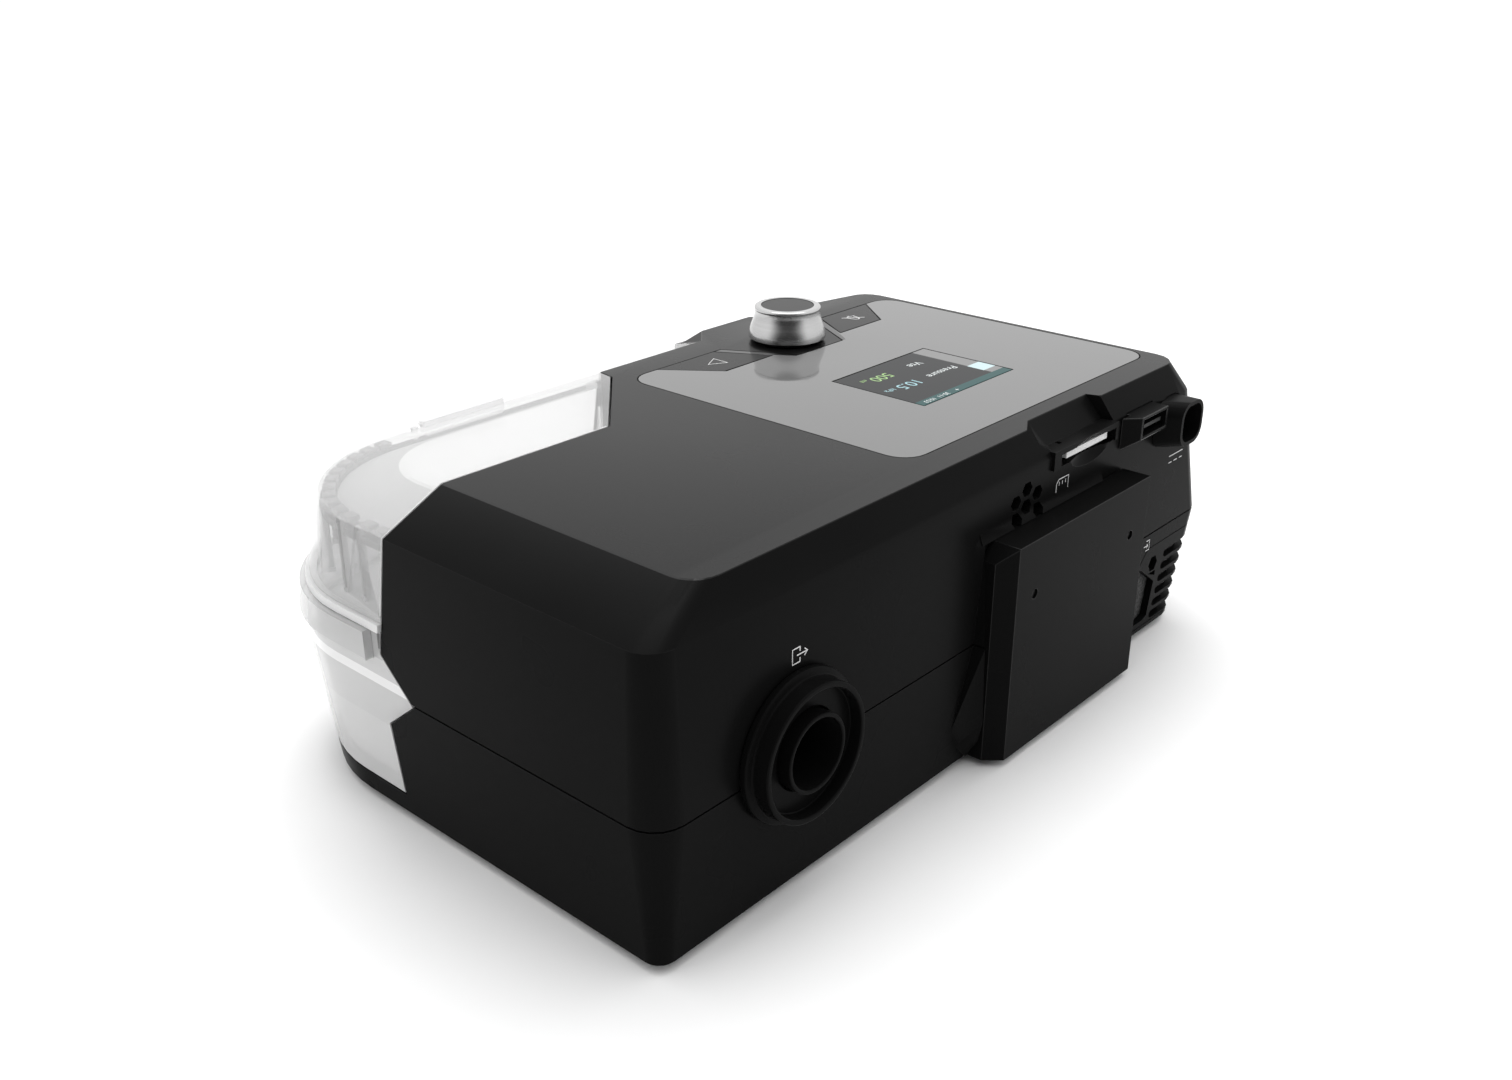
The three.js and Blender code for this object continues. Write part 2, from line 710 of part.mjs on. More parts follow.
// Board and what stands on it
const boardFromCaseHeight = { low: -19.4 }
const board = {
  side: 6.5, rearRoom: 3, frontRoom: 6.5, thick: 1.6, postRadius: 3, postInset: 7,
  ...placed(boardFromCaseHeight, caseHeight)
}
board.right = panelRight + board.side
board.left = panelLeft - board.side
board.rear = panelRear - board.rearRoom
board.front = panelFront + board.frontRoom
const boardTop = board.low + board.thick
const boardPosts = [
  [board.right + board.postInset, board.rear + board.postInset],
  [board.left - board.postInset, board.rear + board.postInset],
  [board.right + board.postInset, board.front - board.postInset],
  [board.left - board.postInset, board.front - board.postInset]
]
const encoderFromBoardTop = { boreFloor: 1.6, plungerLow: 2.8 }
const encoderFromCaseHeight = { bushTop: -3.9 }
const encoder = {
  ...placed(encoderFromBoardTop, boardTop),
  ...placed(encoderFromCaseHeight, caseHeight),
  half: 6.5, high: 7, bushRadius: 5, boreRadius: 3.3, plungerThick: 1.6, shaftRadius: 3
}
const readerFromSlotX = { right: -14.2, left: 15.6 }
const readerFromShoulderHeight = { high: 2.2 }
const reader = {
  ...placed(readerFromSlotX, slotX),
  ...placed(readerFromShoulderHeight, shoulderHeight),
  rear: 8.5, front: 34.5
}
const cardFromSlotX = { right: -11.3, left: 13 }
const cardFromShoulderHeight = { low: -2.7, high: -0.6 }
const card = {
  ...placed(cardFromSlotX, slotX),
  ...placed(cardFromShoulderHeight, shoulderHeight),
  length: 31.6, rear: 0.3
}
const keySwitch = { half: 3 }

function displayModule() {
  const top = caseHeight - panelThickness - gap
  const slab = block([screen.right + gap, screen.left - gap], [screen.rear + gap, screen.front - gap],
    [screen.moduleLow, top])
  const legs = [screen.right + screen.frame, screen.left - screen.frame].flatMap(x =>
    [screen.rear + screen.frame, screen.front - screen.frame].map(y =>
      rod(screen.legRadius, [x, y], [boardTop + gap, screen.moduleLow + gap], 10)))
  return join(slab, ...legs)
}

function cardReader() {
  const shell = block([reader.right, reader.left], [reader.rear, reader.front], [boardTop + gap, reader.high])
  const slot = block([card.right - gap, card.left + gap], [-over, card.rear + card.length + gap],
    [card.low - gap, card.high + gap])
  return cut(shell, slot)
}

// A card with one cut corner
function memoryCard() {
  const corner = card.high - card.low
  const rear = card.rear
  const front = card.rear + card.length
  return prismZ([[card.right, rear], [card.left, rear], [card.left, front - corner],
    [card.left - corner, front],
    [card.right, front]], [card.low, card.high])
}

// Knob
const knobHeight = 11.4
const knobFromCaseHeight = { bottom: 0.9, ringHigh: 1.1 }
const knob = {
  ...placed(knobFromCaseHeight, caseHeight),
  baseRadius: 13.5, waistRadius: 11.3, rimRadius: 11.5, inlayRadius: 9.2,
  inlayDepth: 1, rimEase: 0.8, skirtRise: 1.2, crown: 3.7, bore: 3.3, ringRadius: 12,
  ringBore: 4.6, shaftHole: 4.2, hollowRadius: 12.4, hollow: 1.2
}
knob.top = knob.bottom + knobHeight
knob.boreTop = knob.top - knob.crown

function knobBody() {
  const profile = [
    [knob.bore, knob.bottom + knob.hollow],
    [knob.hollowRadius, knob.bottom + knob.hollow],
    [knob.hollowRadius, knob.bottom],
    [knob.baseRadius - knob.rimEase, knob.bottom],
    [knob.baseRadius, knob.bottom + knob.rimEase],
    [knob.baseRadius - knob.rimEase / 2, knob.bottom + knob.skirtRise + knob.rimEase]
  ]
  const flareSteps = 8
  const low = knob.bottom + knob.skirtRise + knob.rimEase
  const high = knob.top - knob.rimEase - knob.rimEase
  const wide = knob.baseRadius - knob.rimEase / 2
  for (let i = 1; i <= flareSteps; i++) {
    const share = i / flareSteps
    profile.push([wide + (knob.waistRadius - wide) * Math.sin(share * Math.PI / 2) ** 2,
      low + (high - low) * share])
  }
  profile.push(
    [knob.rimRadius, knob.top - knob.rimEase],
    [knob.rimRadius - knob.rimEase / 2, knob.top],
    [knob.inlayRadius + gap, knob.top],
    [knob.inlayRadius + gap, knob.top - knob.inlayDepth - gap],
    [0, knob.top - knob.inlayDepth - gap],
    [0, knob.boreTop],
    [knob.bore, knob.boreTop]
  )
  return turned(profile, [knobX, knobY, 0], 32)
}

// Blower: a lower cup, a lid with the inlet, the wheel with its shaft, the motor and three rubber mounts
const blowerFromPanelLeft = { x: -47.5 }
const blower = {
  ...placed(blowerFromPanelLeft, panelLeft),
  y: 75, radius: 40, wall: 2.5, low: 12, split: 36, top: 58, eyeRadius: 13,
  wheelRadius: 33, wheelLow: 38, plate: 2, bladeTop: 52, hubRadius: 8, shaftRadius: 1.6, blades: 9,
  bladeThick: 1.4, motorRadius: 15, motorTop: 32, motorBore: 15, mountRadius: 5, mountPitch: 28,
  spoutY: 45, spoutZ: 24, spoutRadius: 9, spoutBore: 7, spoutReach: 16
}
const duct = { radius: 9, bore: 7.4, sides: 12, steps: 10, bend: 36 }
const dockFromShoulderHeight = { z: -13.8 }
const dock = { inX: 66, outX: 28, ...placed(dockFromShoulderHeight, shoulderHeight), bore: 8, seal: 10.5 }

function spoutTube(radius, from, to) {
  return rodX(radius, [blower.spoutY, blower.spoutZ], [from, to], 16)
}

function blowerLower() {
  const spoutEnd = blower.x - blower.radius - blower.spoutReach
  const cup = rod(blower.radius, [blower.x, blower.y], [blower.low, blower.split], 40)
  const spout = spoutTube(blower.spoutRadius, spoutEnd, blower.x)
  const inside = rod(blower.radius - blower.wall, [blower.x, blower.y],
    [blower.low + blower.wall, blower.split + over], 40)
  return cut(join(cup, spout), inside, spoutTube(blower.spoutBore, spoutEnd - over, blower.x))
}

function blowerUpper() {
  const inner = blower.radius - blower.wall
  const roof = blower.top - blower.wall
  return turned([
    [blower.eyeRadius, roof], [inner, roof], [inner, blower.split + gap], [blower.radius, blower.split + gap],
    [blower.radius, blower.top], [blower.eyeRadius, blower.top]
  ], [blower.x, blower.y, 0], 40)
}

function impeller() {
  const centre = [blower.x, blower.y]
  const plate = rod(blower.wheelRadius, centre, [blower.wheelLow, blower.wheelLow + blower.plate], 36)
  const hub = rod(blower.hubRadius, centre, [blower.wheelLow, blower.bladeTop - blower.plate], 20)
  const shaft = rod(blower.shaftRadius, centre,
    [blower.motorTop - blower.motorBore + gap + gap, blower.wheelLow + blower.plate], 12)
  const blades = Array.from({ length: blower.blades }, (_, i) => {
    const geometry = new THREE.BoxGeometry(blower.wheelRadius - blower.hubRadius, blower.bladeThick,
      blower.bladeTop - blower.wheelLow - blower.plate / 2)
    geometry.translate((blower.wheelRadius + blower.hubRadius - blower.plate) / 2, 0,
      (blower.bladeTop + blower.wheelLow + blower.plate / 2) / 2)
    geometry.rotateZ(i / blower.blades * Math.PI * 2)
    geometry.translate(blower.x, blower.y, 0)
    return solidOf(geometry)
  })
  return join(plate, hub, shaft, ...blades)
}

function motor() {
  const centre = [blower.x, blower.y]
  return cut(
    rod(blower.motorRadius, centre, [blower.low + blower.wall + gap, blower.motorTop], 28),
    rod(blower.shaftRadius + gap, centre, [blower.motorTop - blower.motorBore, blower.motorTop + over], 12)
  )
}

// A bent air duct: one hollow tube along a smooth line
function airDuct(points) {
  const places = points.map(([x, y, z]) => new THREE.Vector3(x, y, z))
  const line = new THREE.CatmullRomCurve3(places, false, 'centripetal')
  const section = new THREE.Shape(circlePoints(duct.radius))
  section.holes.push(new THREE.Path(circlePoints(duct.bore)))
  return solidOf(new THREE.ExtrudeGeometry(section, { steps: duct.steps, extrudePath: line,
    bevelEnabled: false }))
}

function circlePoints(radius) {
  return Array.from({ length: duct.sides }, (_, i) => {
    const angle = i / duct.sides * Math.PI * 2
    return new THREE.Vector2(radius * Math.cos(angle), radius * Math.sin(angle))
  })
}

// Depth of the docking wall's outer and inner faces at the level of its ports
const dockWall = bayRear + (bayWaist - bayRear) * (shoulderHeight - dock.z)
  / (shoulderHeight - bayWaistHeight)
const dockInside = dockWall - bayWall

// Screws, towers and feet
const tower = {
  radius: 5, postRadius: 4.5, headRadius: 3, bore: 1.8, headRoom: 26, screwRadius: 1.5, headHigh: 2.2,
    bite: 9,
  cornerInset: 17, leftInset: 10.5, filterClear: 17, dockInset: 47, dockClear: 18.5, frontInset: 14
}
const towerPlaces = [
  [tower.cornerInset, tower.cornerInset],
  [baseWidth - tower.leftInset, filter.forward + tower.filterClear],
  [tower.dockInset, bayRear - tower.dockClear],
  [baseWidth - tower.leftInset, baseDepth - tower.frontInset]
]
const foot = { radius: 8, sink: 1.2, inset: 26 }
const footPlaces = [
  [foot.inset, foot.inset],
  [baseWidth - foot.inset, foot.inset],
  [baseWidth - foot.inset, baseDepth - foot.inset],
  [foot.inset + foot.inset, baseDepth - foot.inset]
]

function outletHole() {
  return turnedRear(rodProfile(hose.spigot + gap, -over, over), [outletX, 0, outletZ], 40)
}

const hose = { spigot: 18.4, flange: 21.4, flangeThick: 2.9, inner: 17.6, floor: 3.95, behind: 3,
  tubeBack: 12 }

// Upper casing
function upperShell() {
  const visor = cut(cardFrame(), block([0, seamWidth], [-over, over], [0, cardSlot.low]))
  const outside = join(body, knobPlatform(), visor)
  const hollow = common(bodyInside, heightBand(0, caseHeight - topWall))
  const ramp = fairingAlong([
    [seamHeight + seamGap / 2, fairing.seamRight, fairing.seamReach],
    [box.height, fairing.topRight, fairing.topReach],
    [fairing.topHeight, box.right - gap - fairing.root, fairing.root / 4]
  ])
  const strip = prismX([
    [0, box.height + gap + fairing.strip], [-fairing.topReach, box.height + gap],
    [fairing.root, box.height + gap], [fairing.root, box.height + gap + fairing.strip]
  ], [box.right - gap - fairing.root, fairing.stripLeft])
  const walled = join(cut(outside, hollow), common(outside, cardPocket(cardSlot.pocketWall)))
  const skin = cut(walled, cardPocket(0), cardEye(), panelRecess())
  const posts = towerPlaces.map(place =>
    common(rod(tower.postRadius, place, [seamHeight + seamGap / 2, caseHeight], 18), casing(wall)))
  const boardStuds = boardPosts.map(place =>
    rod(board.postRadius, place, [boardTop + gap, caseHeight - topWall + gap], 12))
  const raw = common(
    cut(join(skin, ...posts, ...boardStuds, ramp, strip), bay),
    heightBand(seamHeight + seamGap / 2, caseHeight + over)
  )
  const window = block([screen.right, screen.left], [screen.rear, screen.front], [screen.moduleLow,
    caseHeight])
  return cut(raw, cardDish(), cardOpening(), ...speakerHoles(), outletHole(), window,
    frameBlock(port, gap, [-over, port.deep + over]), inletPrism(gap, [-over, inlet.deep + over]),
    rod(knob.shaftHole, [knobX, knobY], [0, caseHeight + over], 24),
    ...Object.values(keySides).map(side => rod(key.stemRadius + gap, keyStem(side), [0,
      caseHeight + over], 16)),
    ...towerPlaces.map(place => rod(tower.screwRadius + gap / 2, place, [0,
      seamHeight + tower.bite + gap], 12)),
    ...dockHoles(), tongueSpace())
}

function dockHoles() {
  return [dock.inX, dock.outX].map(x =>
    turnedRear(rodProfile(dock.seal + gap, -dockWall - bayWall, -dockInside + bayWall), [x, 0, dock.z], 28))
}

// Locating tongue of the lower casing, and the room for it in the upper one
const tongue = { thick: 1.1, rise: 1.6 }

function tongueBand(outer, inner, [z0, z1]) {
  return cut(common(cut(casing(outer), casing(inner)), heightBand(z0, z1)), bayZone(-bayWall))
}

function tongueSpace() {
  return tongueBand(wall - tongue.thick - gap, wall + over, [0, seamHeight + seamGap / 2 + tongue.rise + gap])
}

// Lower casing with the tray under the chamber
const heater = { right: 22, left: 89, rear: 114, front: 156, deep: 3.6, plate: 1.9, insulator: 1.3,
  radius: 8 }

function heaterPrism(margin, limits) {
  return prismZ(roundedOutline([heater.right - margin, heater.left + margin],
    [heater.rear - margin, heater.front + margin], heater.radius + margin, 5), limits)
}

function lowerShell() {
  const top = seamHeight - seamGap / 2
  const outside = common(body, heightBand(-over, top))
  const inside = common(bodyInside, heightBand(wall, seamHeight + over))
  const towers = towerPlaces.map(place =>
    common(rod(tower.radius, place, [wall / 2, top], 18), casing(wall / 2)))
  const ramp = fairingAlong([
    [0, box.right - gap - fairing.root, fairing.root / 4],
    [fairing.footZ, fairing.footRight, fairing.footReach],
    [fairing.lowHeight, fairing.lowRight, fairing.lowReach],
    [top, fairing.seamRight, fairing.seamReach]
  ])
  const rim = tongueBand(wall - tongue.thick, wall, [top - over, seamHeight + seamGap / 2 + tongue.rise])
  return cut(join(cut(outside, inside), ...towers, ramp, rim), bay, filterZone(0), outletHole(),
    heaterPrism(gap, [bayFloor - heater.deep, bayFloor + over]),
    ...towerPlaces.map(place => rod(tower.headRadius + gap, place, [-over, tower.headRoom], 16)),
    ...towerPlaces.map(place => rod(tower.bore, place, [0, seamHeight + over], 12)),
    ...footPlaces.map(place => rod(foot.radius + gap, place, [-over, foot.sink], 28)))
}

function caseScrew(place) {
  const headTop = tower.headRoom - gap
  return join(
    rod(tower.headRadius, place, [headTop - tower.headHigh, headTop], 14),
    rod(tower.screwRadius, place, [headTop - tower.headHigh / 2, seamHeight + tower.bite], 10)
  )
}

// Chamber pieces
const chamberBody = common(body, bayZone(bayGap))
const chamberInside = common(casing(chamberWall, lidTopWall), bayZone(bayGap + chamberWall + slopeAllowance))
const hingeFromTankTop = { z: 2.4 }
const hingeFromSeamDepth = { y: -0.8 }
const hinge = {
  ...placed(hingeFromTankTop, tankTop),
  ...placed(hingeFromSeamDepth, seamDepth),
  radius: 1.9, pinRadius: 0.8, boreGap: 0.2, right: 60, segment: 10, space: 0.5, segments: 5,
  web: 1, cornerSide: 3.5
}
const baffleFromCaseHeight = { top: -4 }
const baffleFromShoulderHeight = { low: -3.8 }
const baffle = {
  ...placed(baffleFromCaseHeight, caseHeight),
  ...placed(baffleFromShoulderHeight, shoulderHeight),
  inset: 4.2, thick: 1.4, spread: 7.2
}
const innerSealFromShoulderHeight = { low: -6.4, high: -4.2 }
const innerSeal = { ...placed(innerSealFromShoulderHeight, shoulderHeight), inset: 2.7, width: 5.6 }
const tankFloor = bayFloor + bayGap + chamberWall + slopeAllowance
const lidBottom = tankTop + gap + gasketHeight + gap

function hingeSpan(index) {
  const start = hinge.right + index * (hinge.segment + hinge.space)
  return [start, start + hinge.segment]
}

function hingeKnuckles(wanted, webLow, webHigh, webRear) {
  const chosen = Array.from({ length: hinge.segments }, (_, i) => i).filter(i => i % 2 === wanted)
  return chosen.flatMap(i => [
    rodX(hinge.radius, [hinge.y, hinge.z], hingeSpan(i), 16),
    block(hingeSpan(i), [webRear, hinge.y + hinge.web / 2], [webLow, webHigh])
  ])
}

function hingeBore() {
  const reach = hinge.segments * (hinge.segment + hinge.space)
  return rodX(hinge.pinRadius + hinge.boreGap, [hinge.y, hinge.z],
    [hinge.right - over, hinge.right + reach + over], 12)
}

function hingeRoom(low) {
  const reach = hinge.segments * (hinge.segment + hinge.space)
  return block([hinge.right - hinge.space, hinge.right + reach], [hinge.y - hinge.radius - gap,
    seamDepth + over],
    [low, hinge.z + hinge.radius + gap])
}

function collar() {
  const ring = common(cut(casing(-collarProud), casing(chamberWall / 2)), heightBand(collarBottom, tankTop))
  const limits = block([-over, collarLeft], [collarRear, seamDepth + over], [0, caseHeight])
  return common(ring, limits)
}

function tank() {
  const outside = join(common(chamberBody, heightBand(bayFloor + bayGap, tankTop)), collar())
  const inside = common(chamberInside, heightBand(tankFloor, caseHeight))
  const knuckles = hingeKnuckles(1, tankTop - hinge.web, hinge.z, hinge.y - hinge.radius)
  const window = heaterPrism(-heater.radius / 2 + gap, [0, tankFloor + gap])
  return cut(join(cut(outside, inside), ...knuckles), window, hingeBore())
}

function tankBase() {
  const top = tankFloor + gap + chamberWall / 2
  return join(
    heaterPrism(-heater.radius / 2, [bayFloor + bayGap, top]),
    heaterPrism(0, [tankFloor + gap, top])
  )
}

function gasket() {
  const band = heightBand(tankTop + gap, tankTop + gap + gasketHeight)
  const outer = common(casing(-collarProud * (1 - topInsetShare)), bayZone(bayGap), band)
  const inner = common(casing(chamberWall), bayZone(bayGap + chamberWall + slopeAllowance))
  return cut(outer, inner, hingeRoom(tankTop))
}

const gripFromCaseHeight = { high: 2.2, root: -2.9 }
const gripFromTopFront = { rear: -1.2 }
const grip = {
  ...placed(gripFromCaseHeight, caseHeight),
  ...placed(gripFromTopFront, topFront),
  right: 43, left: 74.4, thick: 3, smallRight: 39.4, smallLeft: 42
}

function gripBar(right, left, thick) {
  const half = thick / 2
  const y = grip.rear + half
  const top = caseHeight + (grip.high - caseHeight) * thick / grip.thick
  const bar = rodX(half, [y, top - half], [right + half, left - half], 12)
  const ends = [right + half, left - half].map(x => {
    const geometry = new THREE.SphereGeometry(half, 12, 8)
    geometry.translate(x, y, top - half)
    return solidOf(geometry)
  })
  return join(bar, ...ends, block([right + half, left - half], [y - half, y + half], [grip.root, top - half]))
}

// Ribs on the inside of the lid's outer wall
const ribFromLidBottom = { low: 2.8 }
const ribFromShoulderHeight = { high: -1.8 }
const rib = {
  ...placed(ribFromLidBottom, lidBottom),
  ...placed(ribFromShoulderHeight, shoulderHeight),
  places: [114, 123], width: 2, deep: 1.8, root: 6, angles: [25, 50, 75]
}

function lidRibs() {
  const along = rib.places.map(y => block([chamberWall / 2, chamberWall + rib.deep],
    [y - rib.width / 2, y + rib.width / 2], [rib.low, rib.high]))
  const reach = chamberWall * 2 + rib.deep
  const round = rib.angles.map(turn => {
    const geometry = new THREE.BoxGeometry(reach * 2, rib.width, rib.high - rib.low)
    geometry.translate(reach - chamberRadius + chamberWall - rib.root, 0, (rib.low + rib.high) / 2)
    geometry.rotateZ(-turn * Math.PI / 180)
    geometry.translate(chamberRadius, shoulderDepth - chamberRadius, 0)
    return common(solidOf(geometry), cut(casing(chamberWall / 2), casing(chamberWall + rib.deep)))
  })
  return along.concat(round)
}

function lid() {
  const outside = common(chamberBody, heightBand(lidBottom, caseHeight + over))
  const inside = common(chamberInside, heightBand(0, caseHeight - lidTopWall))
  const ports = [dock.inX, dock.outX].map(x =>
    turnedRear(rodProfile(dock.bore, -dockWall - over, -dockWall + over), [x, 0, dock.z], 24))
  const knuckles = hingeKnuckles(0, lidBottom, hinge.z + hinge.radius / 2,
    hinge.y - hinge.radius - hinge.cornerSide)
  const shell = join(cut(outside, inside), ...lidRibs(), ...knuckles,
    gripBar(grip.right, grip.left, grip.thick), gripBar(grip.smallRight, grip.smallLeft, grip.thick / 2))
  return cut(shell, hingeBore(), ...ports)
}

// Frosted inner cover of the lid: a flat top with a skirt that slopes out and down
function lidBaffle() {
  const levels = inset => [
    casingLevel(baffle.low, 0, shoulderWidth, 0, shoulderDepth,
      [topRearRightRadius, leftRadius, leftRadius, chamberRadius], baffle.spread + inset),
    casingLevel(baffle.top - inset, rightBevel, topLeft, rearBevel, topFront,
      [topRearRightRadius, leftRadius, leftRadius, topChamberRadius], baffle.inset * topInsetShare + inset)
  ]
  const clear = bayGap + chamberWall + slopeAllowance + gap
  const outer = common(loft(levels(0)), bayZone(clear))
  const inner = common(loft(levels(baffle.thick)), bayZone(clear + baffle.thick))
  return cut(outer, inner)
}

function lidInnerSeal() {
  const band = heightBand(innerSeal.low, innerSeal.high)
  const zone = bayZone(bayGap + chamberWall + slopeAllowance + gap)
  const ring = common(cut(casing(innerSeal.inset), casing(innerSeal.inset + innerSeal.width)), zone, band)
  return cut(ring, ...lidRibs())
}

// Heater under the chamber
function heaterPlate() {
  const top = bayFloor + bayGap - gap
  return heaterPrism(0, [top - heater.plate, top])
}

function heaterInsulator() {
  const low = bayFloor - heater.deep + gap
  return heaterPrism(0, [low, low + heater.insulator])
}

// Hose outlet
function hoseOutlet() {
  return turnedRear([
    [outletTubeRadius + gap, -hose.behind], [hose.spigot, -hose.behind], [hose.spigot, gap],
      [hose.flange, gap],
    [outletRingRadius + gap, hose.flangeThick], [outletRingRadius, hose.flangeThick + gap],
    [outletRingRadius, outletReach], [hose.inner, outletReach], [hose.inner, hose.floor],
    [outletTubeRadius + gap, hose.floor]
  ], [outletX, 0, outletZ], 40)
}

function outletTube() {
  return turnedRear(ringProfile(outletTubeBore, outletTubeRadius, -hose.tubeBack, outletReach),
    [outletX, 0, outletZ], 40)
}

// Add-on box
function rearBox() {
  const plan = [
    [box.right, -gap], [box.right, -box.mid], [box.face, -box.reach], [box.left, -box.reach], [box.left, -gap]
  ]
  const corner = [
    [box.right - over, box.corner - over], [box.face + over, box.height + over],
    [box.right - over, box.height + over]
  ]
  const bore = rodProfile(box.screwRadius + gap / 2, box.reach - box.screwDepth - gap, box.reach + over)
  const holes = screwPlaces().map(([x, z]) => turnedRear(bore, [x, 0, z], 16))
  return cut(prismZ(plan.reverse(), [0, box.height]), prismY(corner, [-box.reach - over, over]), ...holes)
}

function screwPlaces() {
  return [box.face + box.screwInset, box.left - box.screwInset].map(x => [x, box.screwZ])
}

function rearScrew([x, z]) {
  return turnedRear(rodProfile(box.screwRadius, box.reach - box.screwDepth, box.reach - box.screwSink),
    [x, 0, z], 16)
}

// Everything together
add('upper_shell', upperShell(), satinBlack)
add('lower_shell', lowerShell(), satinBlack)
add('top_panel', topPanel(), glossGrey)
add('display_window', block([screen.right + gap, screen.left - gap], [screen.rear + gap, screen.front - gap],
  [caseHeight - panelThickness, caseHeight]), screenGlass)
add('display_module', displayModule(), plainGrey)
add('main_board', block([board.right, board.left], [board.rear, board.front], [board.low, boardTop]),
  boardGreen)
for (const [name, side] of Object.entries(keySides)) {
  const low = boardTop + gap + keySwitch.half + key.switchGap
  const plate = prismZ(keyOutline(side, 0), [caseHeight - key.thick, caseHeight])
  add(name, join(plate, rod(key.stemRadius, keyStem(side), [low, caseHeight - key.thick / 2], 14)),
    satinBlack)
  const [x, y] = keyStem(side)
  add(name.replace('button', 'switch'), block([x - keySwitch.half, x + keySwitch.half],
    [y - keySwitch.half, y + keySwitch.half], [boardTop + gap, boardTop + gap + keySwitch.half]), plainGrey)
}
add('encoder_body', cut(
  join(
    block([knobX - encoder.half, knobX + encoder.half], [knobY - encoder.half, knobY + encoder.half],
      [boardTop + gap, boardTop + encoder.high]),
    rod(encoder.bushRadius, [knobX, knobY], [boardTop + encoder.high / 2, encoder.bushTop], 20)
  ),
  rod(encoder.boreRadius, [knobX, knobY], [encoder.boreFloor, caseHeight], 20)
), steel)
add('encoder_plunger', rod(encoder.boreRadius - gap, [knobX, knobY],
  [encoder.plungerLow, encoder.plungerLow + encoder.plungerThick], 16), plainGrey)
add('encoder_shaft', rod(encoder.shaftRadius, [knobX, knobY],
  [encoder.plungerLow + encoder.plungerThick + gap, knob.boreTop - gap], 16), steel)
add('knob', knobBody(), brushedMetal)
add('knob_inlay', rod(knob.inlayRadius, [knobX, knobY], [knob.top - knob.inlayDepth, knob.top], 40),
  satinBlack)
add('knob_ring', turned(ringProfile(knob.ringBore, knob.ringRadius, caseHeight + gap, knob.ringHigh),
  [knobX, knobY, 0], 40), darkRubber)
add('speaker', turnedRear(rodProfile(grille.speakerRadius, -wall - gap - grille.speakerDepth, -wall - gap),
  [grille.x, 0, grille.z - grille.across / 2], 24), darkRubber)
add('blower_housing_lower', blowerLower(), plainGrey)
add('blower_housing_upper', blowerUpper(), plainGrey)
add('impeller', impeller(), whiteRubber)
add('blower_motor', motor(), steel)
for (let i = 0; i < 3; i++) {
  const angle = Math.PI * (0.5 + i * 2 / 3)
  add(`blower_mount_${i + 1}`, rod(blower.mountRadius,
    [blower.x + blower.mountPitch * Math.cos(angle), blower.y + blower.mountPitch * Math.sin(angle)],
    [wall + gap, blower.low - gap], 14), darkRubber)
}
const spoutEnd = blower.x - blower.radius - blower.spoutReach
add('chamber_duct', airDuct([
  [spoutEnd - gap, blower.spoutY, blower.spoutZ], [spoutEnd - duct.radius, blower.spoutY, blower.spoutZ],
  [spoutEnd - duct.bend, blower.spoutY, blower.spoutZ + duct.bend / 2],
  [dock.inX + duct.radius, dockInside - duct.bend, dock.z - duct.radius / 2],
  [dock.inX, dockInside - duct.radius, dock.z], [dock.inX, dockInside - gap, dock.z]
]), plainGrey)
add('hose_duct', airDuct([
  [outletX, hose.tubeBack + gap, outletZ], [outletX, hose.tubeBack + duct.radius, outletZ],
  [(outletX + dock.outX) / 2, (hose.tubeBack + dockInside) / 2, (outletZ + dock.z) / 2],
  [dock.outX, dockInside - duct.radius, dock.z], [dock.outX, dockInside - gap, dock.z]
]), plainGrey)
for (const [name, x] of [['chamber_inlet_seal', dock.inX], ['chamber_outlet_seal', dock.outX]]) {
  const ring = turnedRear(ringProfile(dock.bore, dock.seal, -dockWall - over, -dockInside), [x, 0,
    dock.z], 24)
  add(name, cut(ring, bayZone(bayGap - gap)), darkRubber)
}
add('hose_outlet', hoseOutlet(), satinBlack)
add('hose_outlet_tube', outletTube(), satinBlack)
add('heater_plate', heaterPlate(), steel)
add('heater_insulator', heaterInsulator(), whiteRubber)
add('chamber_tank', tank(), clearPlastic)
add('chamber_base', tankBase(), steel)
add('chamber_gasket', gasket(), whiteRubber)
add('chamber_lid', lid(), clearPlastic)
add('lid_baffle', lidBaffle(), frostPlastic)
add('lid_inner_seal', lidInnerSeal(), darkRubber)
add('lid_hinge_pin', rodX(hinge.pinRadius, [hinge.y, hinge.z],
  [hinge.right - hinge.space, hinge.right + hinge.segments * (hinge.segment + hinge.space)], 12), steel)
add('card_reader', cardReader(), steel)
add('memory_card', memoryCard(), cardWhite)
add('data_port', dataPort(), satinBlack)
add('data_port_tongue', portTongue(), darkRubber)
add('power_inlet', powerInlet(), satinBlack)
pinPlaces().forEach((place, i) => add(`power_inlet_pin_${i + 1}`, inletPin(place), steel))
add('filter_cover', filterCover(), satinBlack)
add('filter_foam', filterFoam(), foamGrey)
add('rear_box', rearBox(), satinBlack)
screwPlaces().forEach((place, i) => add(`rear_box_screw_${i + 1}`, rearScrew(place), steel))
footPlaces.forEach((place, i) =>
  add(`foot_${i + 1}`, rod(foot.radius, place, [-footHeight, foot.sink - gap], 24), darkRubber))
towerPlaces.forEach((place, i) => add(`case_screw_${i + 1}`, caseScrew(place), steel))

const machine = new THREE.Group()
machine.add(...parts)

// The finished frame: turned half round and centred over the feet
const frontmost = Math.max(seamDepth, hinge.y + hinge.radius)
machine.rotation.z = Math.PI
machine.position.set(
  (seamWidth - collarProud) / 2,
  (frontmost - box.reach) / 2,
  footHeight
)

const model = new THREE.Group()
model.add(machine)

export default model
